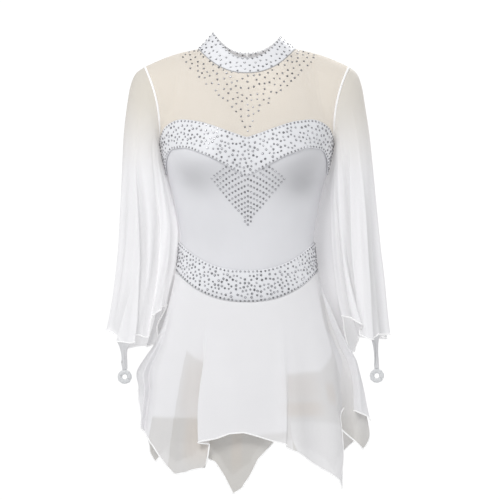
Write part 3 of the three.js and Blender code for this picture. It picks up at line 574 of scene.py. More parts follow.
def sleeve_relief(hand, turn, step):
    """Where a sleeve's pleats move its points, and how far out its pleats and flutes stand.

    Each flute widens and drifts down to the hem.
    """
    _, _, folds, pleats = SLEEVE_TABLES[hand]
    height = 0.0
    for middle, drift, width, depth, start in zip(*folds.values()):
        along = np.clip((step - start) / (LAST_STEP - start), 0, 1)
        wide = width * mix(FLUTE["top"], FLUTE["foot"], along)
        apart = around(turn - middle, drift * along)
        height = height + depth * smooth(along * FLUTE["growth"]) * bell(apart / wide)
    bent, rise = pleated(pleats, turn, step, 0, SLEEVE_DRIFT_REACH)
    return bent, height + rise


def sleeve_point(hand, turn, part):
    turn, part = together(turn, part)
    bent, height = sleeve_relief(hand, turn, part * LAST_STEP)
    place = sleeve_ring(hand, bent, part * LAST_STEP)
    sine, cosine = circle(turn)
    place[..., 0] += height * sine
    place[..., 1] -= height * cosine
    more = straight(SLEEVE_TABLES[hand][1], "more", turn % 360) * part**HEM_SHAPE
    place[..., 0] += SIDE[hand] * HEM_SPLAY * more * np.clip(-SIDE[hand] * sine, 0, 1)
    place[..., 2] -= more
    return place


def skirt_relief(turn, drop, fold_share=1.0, pleat_share=1.0):
    """Where the skirt's pleats move its points, and how far out its pleats and folds stand."""
    start = belt_foot(turn) + SEAM
    height = 0.0
    for middle, width, depth, fold_start in zip(*SKIRT_FOLDS.values()):
        grown = smooth(drop, np.maximum(fold_start, start), SKIRT_FOLD_REACH)
        height = height + depth * grown * bell(around(turn, middle) / width)
    bent, rise = pleated(SKIRT_PLEATS, turn, drop, start, SKIRT_DRIFT_REACH, pleat_share)
    return bent, height * fold_share + rise


def skirt_point(hem, inside, turn, part):
    turn, part = together(turn, part)
    drop = mix(belt_foot(turn) + SEAM, straight(hem, "drop", around(turn)), part)
    sine = circle(turn)[0]
    at_side = np.abs(sine) ** FLARE_SHAPE
    left_more, right_more = (curved(rows, "more", drop) for rows in (LEFT_FLARE, RIGHT_FLARE))
    bent, relief = skirt_relief(turn, drop, *(UNDER_SHARES if inside else ()))
    out = 2 * (LIFT + CHIFFON) + relief
    if inside:
        close = np.where(sine > 0, RIGHT_CLOSE * at_side, 0) * smooth(drop, *RIGHT_CLOSE_GROWTH)
        out = out - curved(LAYER_GAP, "gap", drop) * (1 - close)
    return ring_point(SKIRT, bent, drop, out, at_side * np.where(sine < 0, left_more, right_more))


def sleeve_shades(hand, turn, part, place):
    """How white a sleeve looks, its painted shade in hollows, on its sides and inside, and where a
    painted glow brightens it.
    """
    step, drop = part * LAST_STEP, -place[..., 2]
    sine, cosine = circle(turn)
    height = sleeve_relief(hand, turn, step)[1]
    # Painted shade on the back half near the foot, for the shaded inside seen through the hem.
    inside = SLEEVE_SHADE["inside"] * smooth(step, *SLEEVE_SHADE["inside_growth"]) * (cosine < 0)
    # Painted shade on the left sleeve's outer side and over all of the right sleeve.
    side = SLEEVE_SHADE[hand] * (np.clip(-sine, 0, 1) ** 2 if hand == "left" else 1)
    # Painted shade, greyer in the sleeve's hollows.
    grey = SLEEVE_SHADE["base"] + side - SLEEVE_SHADE["painted_shade"] * height + inside
    # Painted glow on the left sleeve's inner front, which lies in shade.
    lit = smooth(sine, *SLEEVE_SHADE["shine_turn"]) * (hand == "left") * (inside == 0)
    return {
        "cover_and_painted_shade": smooth(drop, *SLEEVE_SHADE["white_growth"]),
        "painted_shade": np.clip(grey, 0, SLEEVE_SHADE["most"]),
        "shine": lit * smooth(drop, *SLEEVE_SHADE["shine_growth"]),
    }


def skirt_shades(inside, turn, place):
    """How white the skirt looks, which is sheer and painted darker where it is single, its painted
    shade and how warm.
    """
    drop = -place[..., 2]
    warm = mounds(WARM, turn, drop, "under" if inside else "upper", exponent=4)
    if inside:
        # Painted shade: the under layer darkens towards its hem.
        cover_and_painted_shade = UNDER_PAINTED_SHADE["most"] - UNDER_PAINTED_SHADE["less"] * smooth(drop, *UNDER_PAINTED_SHADE["growth"])
        return {"cover_and_painted_shade": cover_and_painted_shade, "warm": warm}
    cover_and_painted_shade = 1.0
    # Painted shade: the upper layer darkens where it is single and whitens where it is double.
    for column, reach, share in SHEER_AND_SHADE_STEPS:
        cover_and_painted_shade = cover_and_painted_shade + share * smooth(drop, straight(SHEER_AND_SHADE, column, around(turn)), reach)
    # Painted shade, greyer in the skirt's hollows.
    grey = SKIRT_SHADE["base"] - SKIRT_SHADE["painted_shade"] * skirt_relief(turn, drop)[1]
    return {"cover_and_painted_shade": cover_and_painted_shade, "painted_shade": np.clip(grey, 0, SKIRT_SHADE["most"]), "warm": warm}


def armhole_edge(hand, part, facing):
    """The yoke's edge at the armhole, from the shoulder seam at 0 to the underarm at 1."""
    turn = np.degrees(np.pi * (0.5 - part if facing == "front" else 0.5 + part))
    place = sleeve_ring(hand, SIDE[hand] * turn, np.zeros_like(part))
    place[..., 0] -= SIDE[hand] * SEAM
    place[..., 2] += SEAM * part
    return place


def yoke_point(facing, u, v):
    """A point of the yoke, u across it and v from its top edge down to the bodice."""
    u, v = together(u, v)
    front = facing == "front"
    first, second = ("left", "right") if front else ("right", "left")
    start = -90 if front else 90
    seam_y = (-SEAM if front else SEAM) / 2

    def top(place):
        inner = (place - SHOULDER_SHARE) / (1 - 2 * SHOULDER_SHARE)
        edge = collar_point(COLLAR_FOOT, start + 180 * np.clip(inner, 0, 1), SEAM)
        zero = np.zeros_like(place)
        for hand, turn, share in (
            (first, start, place / SHOULDER_SHARE),
            (second, start + 180, (1 - place) / SHOULDER_SHARE),
        ):
            tip = armhole_edge(hand, zero, facing)
            neck = collar_point(COLLAR_FOOT, turn + zero, SEAM)
            seam = mix(tip, neck, np.clip(share, 0, 1)[..., None])
            seam[..., 1] = seam_y
            seam[..., 2] += SHOULDER_RISE * np.sin(np.pi * np.clip(share, 0, 1))
            edge = np.where((share <= 1)[..., None], seam, edge)
        return edge

    def bottom(place):
        turn = start + 180 * place
        edge = torso_point(turn, (sweetheart(turn) if front else back_edge(turn)) - SEAM)
        one = np.ones_like(place)
        for hand, end in ((first, 0), (second, 1)):
            corner = armhole_edge(hand, one, facing)
            corner[..., 1] = seam_y
            edge = np.where((place == end)[..., None], corner, edge)
        return edge

    def near(distance):
        return np.clip(1 - distance / YOKE_SHAPE["reach"], 0, 1) ** 2

    spread = YOKE_SHAPE["softness"] * np.minimum(v, np.minimum(u, 1 - u))
    soft_top = sum(top(u + k * spread / 2) for k in (-2, -1, 0, 1, 2)) / 5
    zero, one = np.zeros_like(u), np.ones_like(u)
    nearer, further = near(u)[..., None], near(1 - u)[..., None]
    down = v[..., None]
    place = mix(soft_top, bottom(u), down)
    place += nearer * armhole_edge(first, v, facing) + further * armhole_edge(second, v, facing)
    at_first, at_second = (mix(top(end), bottom(end), down) for end in (zero, one))
    place -= nearer * at_first + further * at_second
    outside = np.abs(2 * u - 1)
    round_out = YOKE_SHAPE["chest"] + YOKE_SHAPE["fullness"] * outside**2
    level = 1 - outside ** YOKE_SHAPE["flat"]
    bulge = round_out * level * np.sin(np.pi * v ** YOKE_SHAPE["high"])
    place[..., 1] += -bulge if front else bulge
    place[..., 2] += bulge * YOKE_SHAPE["rise"]
    return place


def brief_point(facing, u, v):
    """A point of the brief, u across it and v from the waist down to the leg's edge."""
    u, v = together(u, v)
    sign = -1 if facing == "front" else 1
    turn = sign * 90 + 180 * u
    across = (2 * u - 1) * -sign
    outside = np.abs(across)
    top = torso_point(turn, belt_foot(turn) + SEAM)
    part = np.clip((outside - LEG["share"]) / (1 - LEG["share"]), 0, 1)
    seam_side = curved(TORSO, "side", LEG["side_drop"])
    leg_x = np.sign(across) * mix(LEG["crotch_half"], seam_side, part ** LEG["spread"])
    leg_drop = mix(LEG["side_drop"], LEG["crotch_drop"], (1 - part) ** LEG["rise"])
    crotch_x = across / LEG["share"] * LEG["crotch_half"]
    foot_y = sign * (LEG["depth"] * np.sin(np.pi * part) + SEAM / 2)
    foot = points(np.where(outside < LEG["share"], crotch_x, leg_x), foot_y, -leg_drop)
    middle_drop = -(top[..., 2] + foot[..., 2]) / 2
    bend = points(
        (top[..., 0] + foot[..., 0]) / 2,
        top[..., 1] * BRIEF_FULLNESS[facing],
        -mix(BRIEF_FULLNESS["drop"], middle_drop, outside ** BRIEF_FULLNESS["shape"]),
    )
    down = v[..., None]
    place = top * (1 - down) ** 2 + bend * 2 * down * (1 - down) + foot * down**2
    place[..., 1] = np.where((u == 0) | (u == 1), sign * SEAM / 2, place[..., 1])
    return place


def fade(part):
    """1 over most of a panel and 0 at its edges."""
    return smooth(part, 0.0, PANEL_EDGE) * smooth(1 - part, 0.0, PANEL_EDGE)


def panel_grid(start, cells, top_edge, foot_edge, out=0.0):
    """Points of a torso panel that spans half the body from a start turn."""
    u, v = grid(*cells)
    turn = start + 180 * u
    drop = mix(top_edge(turn), foot_edge(turn), v)
    draped = mounds(DRAPE, turn, drop, "out") * fade(v) * fade(u)
    place = torso_point(turn, drop, out or draped)
    place[0, :, 1] = place[-1, :, 1] = (-SEAM if start < 0 else SEAM) / 2
    return place


# The bands laid on the torso: the turn where each starts, its edges, the cells of its cloth and
# of the grid its stones are set on, and the distance between its loose stones.
BANDS = {
    "bust_band": (-90, band_top, band_foot, (150, 20), (720, 110), 6.7),
    "belt_front": (-90, belt_top, belt_foot, (150, 14), (600, 70), 6.4),
    "belt_back": (90, belt_top, belt_foot, (150, 14), (600, 70), 6.4),
}


# --- meshes ---


def claim(piece, look, nodes=()):
    """Gives a piece its material and smooth shading, hangs it from the body and hides the parts of
    the frame that it stands for.
    """
    piece.data.materials.append(material(look))
    piece.data.shade_smooth()
    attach(piece, BODY)
    if nodes:
        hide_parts(*nodes)
    return piece


def make_piece(name, vertices, faces, look, nodes=()):
    """A piece from vertices in millimetres."""
    mesh = bpy.data.meshes.new(name)
    mesh.from_pydata((vertices.reshape(-1, 3) * MM).tolist(), [], faces)
    piece = bpy.data.objects.new(name, mesh)
    bpy.context.scene.collection.objects.link(piece)
    return claim(piece, look, nodes)


def cell_corners(values):
    """The values at the four corners of each cell of a grid."""
    return np.stack([values[:-1, :-1], values[:-1, 1:], values[1:, 1:], values[1:, :-1]], 2)


def ring_faces(rings, sides, closed=False):
    """The faces between rings of vertices that follow one another."""
    faces = []
    for ring in range(rings if closed else rings - 1):
        a, b = ring * sides, (ring + 1) % rings * sides
        faces += [(a + k, a + (k + 1) % sides, b + (k + 1) % sides, b + k) for k in range(sides)]
    return faces


def cloth(name, place, look, slot, nodes, wrapped=False, shades=None):
    """A sheet through a grid of points, with a UV map in metres along the cloth.

    The shades are named values at the points that its material reads.
    """
    columns, rows, _ = place.shape
    index = np.arange(columns * rows).reshape(columns, rows)
    if wrapped:
        index[-1] = index[0]
    used = slice(-1 if wrapped else None)
    quads = cell_corners(index).reshape(-1, 4).tolist()
    piece = make_piece(name, place[used], quads, look, nodes)
    across, down = (
        np.linspace(0, np.linalg.norm(np.diff(place, axis=k), axis=-1).sum(k).max() * MM, count)
        for k, count in enumerate((columns, rows))
    )
    uv = cell_corners(np.stack(np.meshgrid(across, down, indexing="ij"), -1))
    layer = piece.data.uv_layers.new(name="Cloth")
    layer.data.foreach_set("uv", uv.reshape(-1).astype(np.float32))
    for key, shade in (shades or {}).items():
        values = piece.data.attributes.new(key, "FLOAT", "POINT").data
        values.foreach_set("value", shade[used].reshape(-1).astype(np.float32))
    return piece


def thicken(piece, thickness):
    """Gives a sheet its thickness on the inside."""
    bpy.ops.object.select_all(action="DESELECT")
    bpy.context.view_layer.objects.active = piece
    piece.select_set(True)
    wall = piece.modifiers.new("Wall", "SOLIDIFY")
    wall.thickness = thickness * MM
    wall.offset = -1
    wall.use_even_offset = True
    bpy.ops.object.modifier_apply(modifier=wall.name)


def flat_area(place):
    """The area of a grid of points in millimetres, in square metres."""
    first = place[1:, :-1] - place[:-1, :-1]
    second = place[:-1, 1:] - place[:-1, :-1]
    return float(np.linalg.norm(np.cross(first, second), axis=-1).sum()) * MM * MM


def side_axes(direction):
    """Two unit axes square to each other and to each of a row of unit directions."""
    helper = np.where(np.abs(direction[:, 2:3]) > 0.9, [[1.0, 0, 0]], [[0, 0, 1.0]])
    across = np.cross(helper, direction)
    across /= np.linalg.norm(across, axis=1, keepdims=True)
    return across, np.cross(direction, across)


def tube(name, route, radius, look, slot, closed=False, sides=6, nodes=()):
    """A tube round a route in millimetres."""
    ahead = np.roll(route, -1, 0) - np.roll(route, 1, 0) if closed else np.gradient(route, axis=0)
    ahead /= np.linalg.norm(ahead, axis=1, keepdims=True)
    across, rise = side_axes(ahead)
    angle = np.arange(sides)[:, None] * 2 * np.pi / sides
    ring = rise[:, None] * np.sin(angle) - across[:, None] * np.cos(angle)
    vertices = route[:, None] + ring * np.reshape(radius, (-1, 1, 1))
    faces = ring_faces(len(route), sides, closed)
    if not closed:
        end = len(route) * sides
        faces += [tuple(range(sides))[::-1], tuple(range(end - sides, end))]
    return make_piece(name, vertices, faces, look, nodes)


def sheet(node, place, trims=(), **options):
    """Makes the cloth that stands for a node, thickened if its kind has a wall, with what is sewn
    on it; it works out the area of its flat sheet but does not use it.
    """
    kind = next(kind for kind in SHEETS if node.startswith(kind))
    flat, held, look, slot, wall = SHEETS[kind]
    piece = cloth(f"{node}_cloth", place, look, slot, [node], **options)
    if wall:
        thicken(piece, wall)
    sewn_on = [tube(*trim) for trim in trims]
    flat_area(place)


# --- stones ---


def stone_form():
    """Vertices and faces of a flat-backed cut stone, one unit wide, with its back on the cloth."""
    angle = np.arange(STONE_SIDES) * 2 * np.pi / STONE_SIDES
    rings = [points(r * np.cos(angle), r * np.sin(angle), z) for r, z in STONE_RINGS]
    end = len(rings) * STONE_SIDES
    faces = [*ring_faces(len(rings), STONE_SIDES), tuple(range(end - STONE_SIDES, end))]
    return np.concatenate(rings), faces


class StoneBed:
    """Collects stones that are set on a grid of points, then makes them as one piece."""

    def __init__(self, place, width, seed, away=(0, 0, -300), facing=1):
        """The stones face away from a point, or towards it when facing is -1."""
        normals = np.cross(np.gradient(place, axis=0), np.gradient(place, axis=1))
        areas = np.linalg.norm(normals, axis=-1)
        normals /= areas[..., None] + 1e-9
        outside = ((place - np.array(away)) * normals).sum(-1, keepdims=True)
        self.normals = (facing * (normals * np.where(outside < 0, -1, 1))).reshape(-1, 3)
        self.places, self.areas = place.reshape(-1, 3), areas.reshape(-1)
        self.width = width
        self.random = np.random.default_rng(seed)
        self.spots, self.widths = [], []

    def take(self, index, size):
        self.spots.append(index)
        self.widths.append(self.width * size)

    def nearest(self, spot):
        return int(np.argmin(((self.places - spot) ** 2).sum(1)))

    def row(self, route, spacing, size=1.0):
        """Sets stones an even distance apart along a route in millimetres."""
        length = np.concatenate([[0], np.cumsum(np.linalg.norm(np.diff(route, axis=0), axis=1))])
        count = max(2, int(round(length[-1] / spacing)) + 1)
        for mark in np.linspace(0, length[-1], count):
            spot = np.array([np.interp(mark, length, route[:, axis]) for axis in range(3)])
            self.take(self.nearest(spot), size)

    def scatter(self, allowed, spacing, sizes):
        """Sets stones in a seeded order wherever none lies nearer than the spacing."""
        choices = np.flatnonzero(allowed.reshape(-1))
        weights = self.areas[choices] / self.areas[choices].sum()
        tries = min(SCATTER_TRIES, int((weights > 0).sum()))
        order = self.random.choice(choices, tries, replace=False, p=weights)
        count = len(self.spots)
        taken = np.full((tries + count, 3), 1e6)
        taken[:count] = self.places[self.spots]
        for index in order:
            spot = self.places[index]
            if ((taken[:count] - spot) ** 2).sum(1).min(initial=1e9) < spacing**2:
                continue
            taken[count] = spot
            count += 1
            self.take(int(index), self.random.choice(sizes))

    def make(self, name, lightest=1.0):
        form, faces = stone_form()
        count = len(self.spots)
        normal = self.normals[self.spots]
        across, rise = side_axes(normal)
        spin = self.random.uniform(0, 2 * np.pi, (count, 1))
        tilt = self.random.normal(0, STONE_TILT, (count, 2))
        normal = normal + tilt[:, :1] * across + tilt[:, 1:] * rise
        first = across * np.cos(spin) + rise * np.sin(spin)
        second = rise * np.cos(spin) - across * np.sin(spin)
        axes = np.stack([first, second, normal], 1) * np.array(self.widths)[:, None, None]
        vertices = self.places[self.spots][:, None] + np.einsum("fk,nkc->nfc", form, axes)
        bases = range(0, count * len(form), len(form))
        quads = [tuple(base + k for k in face) for base in bases for face in faces]
        # Random tone and painted sparkle: side facets stay darker, tables are mostly lighter.
        tone_and_painted_sparkle = self.random.uniform(0, STONE_EDGE_LIGHT, (count, len(faces)))
        tone_and_painted_sparkle[:, -1] = self.random.uniform(0.1, 1, count) * lightest
        piece = make_piece(name, vertices, quads, "stones")
        shades = piece.data.attributes.new("tone_and_painted_sparkle", "FLOAT", "FACE")
        shades.data.foreach_set("value", tone_and_painted_sparkle.reshape(-1).astype(np.float32))
        piece.data.shade_flat()


# --- materials ---


class Value:
    """A socket of a material; sums and products on it add Math nodes."""

    def __init__(self, shader, socket):
        self.shader, self.socket = shader, socket

    def _math(self, operation, first, second):
        return self.shader.node("ShaderNodeMath", {"operation": operation}, {0: first, 1: second})

    def __add__(self, other):
        return self._math("ADD", self, other)

    def __sub__(self, other):
        return self._math("SUBTRACT", self, other)

    def __rsub__(self, other):
        return self._math("SUBTRACT", other, self)

    def __mul__(self, other):
        return self._math("MULTIPLY", self, other)

    __radd__, __rmul__ = __add__, __mul__


class Shader:
    """The nodes of a material or a world."""

    def __init__(self, owner):
        self.owner = owner
        owner.use_nodes = True
        self.tree = owner.node_tree
        self.tree.nodes.clear()

    def node(self, kind, settings=None, sockets=None, output=0):
        made = self.tree.nodes.new(kind)
        for key, value in (settings or {}).items():
            setattr(made, key, value)
        for key, value in (sockets or {}).items():
            if isinstance(value, Value):
                self.tree.links.new(value.socket, made.inputs[key])
            else:
                made.inputs[key].default_value = value
        return Value(self, made.outputs[output]) if made.outputs else None

    def attribute(self, name):
        return self.node("ShaderNodeAttribute", {"attribute_name": name}, output="Fac")

    def uv(self):
        """The cloth's own UV map."""
        return self.node("ShaderNodeUVMap", {"uv_map": "Cloth"})

    def here(self):
        return self.node("ShaderNodeTexCoord", output="Object")

    def noise(self, vector, scale, detail):
        sockets = {"Vector": vector, "Scale": scale, "Detail": detail}
        return self.node("ShaderNodeTexNoise", None, sockets)

    def wave(self, vector, direction, scale, distortion):
        settings = {"wave_type": "BANDS", "bands_direction": direction}
        sockets = {"Vector": vector, "Scale": scale, "Distortion": distortion}
        return self.node("ShaderNodeTexWave", settings, sockets, output=1)

    def ramp(self, value, low, high, start, end):
        """Goes from low to high as a value goes from start to end."""
        limits = {"From Min": start, "From Max": end, "To Min": low, "To Max": high}
        return self.node("ShaderNodeMapRange", None, {"Value": value, **limits})

    def blend(self, share, first, second):
        """A colour between two colours."""
        sockets = {"Factor": share, 6: first, 7: second}
        return self.node("ShaderNodeMix", {"data_type": "RGBA"}, sockets, output=2)

    def bump(self, height, distance, strength):
        sockets = {"Height": height, "Distance": distance, "Strength": strength}
        return self.node("ShaderNodeBump", None, sockets)

    def finish(self, sockets):
        """Ends the material in one Principled shader."""
        surface = self.node("ShaderNodeBsdfPrincipled", None, sockets)
        self.node("ShaderNodeOutputMaterial", None, {"Surface": surface})
        return self.owner


def new_shader(name):
    return Shader(bpy.data.materials.new(name))


def rgb(colour, share=1.0):
    """A colour, or a darker or lighter one."""
    return (*(min(1.0, value * share) for value in colour), 1.0)


def make_satin(name, colour, mottled):
    """Smooth stretch satin with a faint knit, soft mottling and painted shade where its cover value
    is high.
    """
    shader = new_shader(name)
    mottle = shader.noise(shader.here(), 9.0, 3.0)
    tint = shader.blend(shader.ramp(mottle, 0.0, 1.0, 0.35, 0.7), rgb(colour), rgb(colour, mottled))
    # Painted shade: the satin is darker where the cover value is high, below the bust.
    tint = shader.blend(shader.attribute("cover_and_painted_shade"), tint, rgb(colour, SATIN_PAINTED_SHADE))
    place = shader.uv()
    wales = shader.wave(place, "X", KNIT_SCALE, 0.6)
    courses = shader.wave(place, "Y", KNIT_SCALE * 1.3, 0.6)
    knit = wales * 0.6 + courses * 0.4
    crease = shader.noise(shader.here(), 38.0, 2.0)
    return shader.finish({
        "Base Color": tint,
        "Roughness": shader.ramp(mottle, 0.42, 0.52, 0.3, 0.7),
        "Normal": shader.bump(knit * 0.25 + crease * 0.9, 0.0006, 0.35),
        "Sheen Weight": 0.15,
        "Sheen Roughness": 0.4,
        "Specular IOR Level": 0.45,
    })


def make_sheer(name, sheer_and_shade_colour, white_colour, alphas, crepe, glow):
    """Sheer cloth: a fine open weave, whiter and denser where its cover is high, turning to its
    sheer colour where it is low, which on the skirt is a painted shade.

    The glow is a painted glow: an emission that stands in for the light that shines through it from
    behind.
    """
    shader = new_shader(name)
    weave = shader.noise(shader.uv(), 700.0, 1.0)
    cloud = shader.noise(shader.here(), 14.0, 2.0)
    cover_and_painted_shade = shader.attribute("cover_and_painted_shade")
    # Painted shade where the cover value is low, on the skirt where its chiffon is single.
    tint = shader.blend(cover_and_painted_shade, rgb(sheer_and_shade_colour), rgb(white_colour))
    # Painted shade: the cloth turns grey in its hollows and other shaded places.
    tint = shader.blend(shader.attribute("painted_shade"), tint, rgb(white_colour, SHEER_PAINTED_GREY))
    tint = shader.blend(shader.attribute("warm"), tint, SHEER_WARM)
    alpha = shader.ramp(cover_and_painted_shade, *alphas, 0.0, 1.0)
    return shader.finish({
        "Base Color": tint,
        "Roughness": shader.ramp(weave, 0.62, 0.78, 0.3, 0.7),
        "Alpha": alpha + (weave - 0.5) * crepe + (cloud - 0.5) * 0.06,
        "Normal": shader.bump(weave + cloud * 3.0, 0.0005, 0.3),
        # Painted glow: stronger where the shine value is high.
        "Emission Color": shader.blend(shader.attribute("shine"), GLOW_COLOUR, SHINE_COLOUR),
        "Emission Strength": 2 * glow,
        "Sheen Weight": 0.2,
        "Sheen Roughness": 0.5,
        "Specular IOR Level": 0.25,
    })


def make_trim(name, colour, glow=0.0):
    """Rolled hems, seams, elastic and the button: a twisted, slightly shiny thread, with a painted
    glow where glow is given.
    """
    shader = new_shader(name)
    twist = shader.noise(shader.here(), 900.0, 1.0)
    share = shader.ramp(twist, 0.0, 0.5, 0.4, 0.7)
    return shader.finish({
        "Base Color": shader.blend(share, rgb(colour), rgb(colour, 0.86)),
        "Roughness": shader.ramp(twist, 0.4, 0.6, 0.3, 0.7),
        "Normal": shader.bump(twist, 0.0004, 0.5),
        # Painted glow: on the rolled hems it makes them stand out brighter.
        "Emission Color": (1.0, 0.99, 0.97, 1.0),
        "Emission Strength": glow,
        "Specular IOR Level": 0.4,
    })


def make_stones(name, colour):
    """Small faceted stones, each a little lighter or darker than the next, with painted sparkle:
    their tables are mostly painted lighter than their other facets.
    """
    shader = new_shader(name)
    tone_and_painted_sparkle = shader.attribute("tone_and_painted_sparkle")
    return shader.finish({
        # Random tone and painted sparkle from each facet's value.
        "Base Color": shader.blend(tone_and_painted_sparkle, rgb(colour, 0.3), rgb(colour, 2.6)),
        "Metallic": 0.75,
        "Roughness": shader.ramp(tone_and_painted_sparkle, 0.34, 0.46, 0.0, 1.0),
        "Specular IOR Level": 0.6,
        "Coat Weight": 0.06,
        "Coat Roughness": 0.08,
    })


# --- sizes and colours that a user would change ---


def length_property(name, description, default):
    return FloatProperty(name=name, description=description, default=default, unit="LENGTH")


def colour_property(name, description, default):
    return FloatVectorProperty(
        name=name, description=description, subtype="COLOR", size=3, default=default
    )


class DressSizes(bpy.types.PropertyGroup):
    """Sizes of the small things that are set on the cloth."""

    stone: length_property("Stone", "Width of a stone", 0.0043)
    hem: length_property("Rolled hem", "Radius of a rolled hem", 0.0014)
    piping: length_property("Seam", "Radius of a raised seam", 0.0015)
    spacing: length_property("Stone spacing", "Distance between stones in a row", 0.0086)
    seed: IntProperty(name="Seed", description="Seed of the stone scatter", default=7)


class DressColours(bpy.types.PropertyGroup):
    """Colours of the cloths and the stones."""

    satin: colour_property("Satin", "Bodice and brief", (0.83, 0.83, 0.855))
    band: colour_property("Bands", "Collar, bust band and belt", (0.91, 0.915, 0.94))
    mesh: colour_property("Mesh", "Sheer yoke", (0.88, 0.80, 0.69))
    chiffon: colour_property("Chiffon", "Sleeves and skirt", (0.87, 0.865, 0.88))
    stones: colour_property("Stones", "Foiled glass stones", (0.36, 0.36, 0.375))


MATERIALS = {}


def material(name):
    """Each material, made when it is first asked for."""
    if name not in MATERIALS:
        mine = bpy.context.scene.dress_colours
        maker, *values = {
            "satin": (make_satin, "Bodice satin", mine.satin, 0.95),
            "band": (make_satin, "Band satin", mine.band, 0.96),
            # The last number of each sheer cloth is its painted glow.
            "yoke": (make_sheer, "Nude mesh", mine.mesh, mine.mesh, (0.62, 0.62), 0.3, 0.02),
            "skirt": (
                make_sheer, "Skirt chiffon", SKIRT_SHEER_PAINTED_SHADE, mine.chiffon, (0.90, 0.93), 0.2, 0.06,
            ),
            "sleeve": (
                make_sheer, "Sleeve chiffon", SLEEVE_SHEER, mine.chiffon, (0.71, 0.80), 0.2, 0.13,
            ),
            # The rolled hems get a painted glow.
            "hem": (make_trim, "Rolled hem", (0.95, 0.95, 0.95), 0.16),
            # The waist seam is grey as a painted shadow below the belt.
            "waist": (make_trim, "Waist seam", (0.74, 0.74, 0.75)),
            "seam": (make_trim, "Seam thread", (0.50, 0.50, 0.51)),
            "elastic": (make_trim, "Loop elastic", (0.78, 0.79, 0.80)),
            "strap": (make_trim, "Strap chiffon", (0.76, 0.76, 0.77)),
            "button": (make_trim, "Button satin", (0.82, 0.82, 0.85)),
            "stones": (make_stones, "Stones", mine.stones),
        }[name]
        MATERIALS[name] = maker(*values)
    return MATERIALS[name]


# --- the operators ---


class DressOperator:
    """What every operator of the dress shares."""

    bl_options = {"REGISTER", "UNDO"}

    def execute(self, context):
        self.build(context.scene.dress_sizes)
        return {"FINISHED"}


class DRESS_OT_bodice(DressOperator, bpy.types.Operator):
    """Makes the satin bodice and the brief"""

    bl_idname = "dress.bodice"
    bl_label = "Bodice and brief"

    def build(self, sizes):
        cells = (150, 90)
        front = panel_grid(-90, cells, sweetheart, belt_foot)
        turn = -90 + 180 * grid(*cells)[0]
        # The bodice front's cover value is its painted shade below the bust.
        under = np.clip(mounds(UNDER_BUST, turn, -front[..., 2], "share"), 0, 1)
        sheet("bodice_front", front, shades={"cover_and_painted_shade": under})
        sheet("bodice_back", panel_grid(90, (130, 70), back_edge, belt_foot))
        for facing in ("front", "back"):
            sheet(f"brief_{facing}", brief_point(facing, *grid(96, 44)))


class DRESS_OT_bands(DressOperator, bpy.types.Operator):
    """Makes the bust band, the belt and the collar"""

    bl_idname = "dress.bands"
    bl_label = "Bands"

    def build(self, sizes):
        for node, (start, top, foot, cells, _, _) in BANDS.items():
            sheet(node, panel_grid(start, cells, top, foot, LIFT + BAND))
        place, _, _ = collar_grid(200, 12, 180 - COLLAR_SLIT)
        sheet("collar", place, [("collar_seam", place[:, -1], 0.9, "seam", "stoned_satin")])
        bpy.ops.object.select_all(action="DESELECT")
        bpy.ops.mesh.primitive_uv_sphere_add(segments=32, ring_count=16, radius=1.0)
        button = bpy.context.object
        button.name = "collar_button_cover"
        size = Matrix.Scale(BUTTON["radius"], 4)
        button.data.transform(Matrix.Translation(BUTTON["place"]) @ size)
        claim(button, "button", ["collar_button"])


class DRESS_OT_yoke(DressOperator, bpy.types.Operator):
    """Makes the sheer yoke"""

    bl_idname = "dress.yoke"
    bl_label = "Yoke"

    def build(self, sizes):
        sheet("yoke_front", yoke_point("front", *grid(144, 60)))
        u, v = grid(72, 60)
        for hand, start, slit in (("right", 0, -1), ("left", 0.5, 0)):
            place = yoke_point("back", start + u / 2, v)
            place[slit, :, 0] = SIDE[hand] * YOKE_SLIT
            sheet(f"yoke_back_{hand}", place)


class DRESS_OT_skirt(DressOperator, bpy.types.Operator):
    """Makes the two layers of the skirt"""

    bl_idname = "dress.skirt"
    bl_label = "Skirt"

    def build(self, sizes):
        u, v = grid(400, 80)
        for layer, hem in (("upper", UPPER_HEM), ("under", UNDER_HEM)):
            for facing, start in (("front", -90), ("back", 90)):
                inside, turn = layer == "under", start + 180 * u
                place = skirt_point(hem, inside, turn, v)
                node = f"skirt_{layer}_{facing}"
                trims = [(f"{node}_hem", place[:, -1], sizes.hem / MM, "hem", "chiffon")]
                if not inside:
                    top = turn[:, 0]
                    waist = torso_point(top, belt_foot(top) + SEAM, LIFT + BAND + WAIST_LIFT)
                    radius = sizes.piping / MM
                    # The waist seam's grey is a painted shadow below the belt.
                    trims.append((f"waist_seam_{facing}", waist, radius, "waist", "chiffon"))
                sheet(node, place, trims, shades=skirt_shades(inside, turn, place))


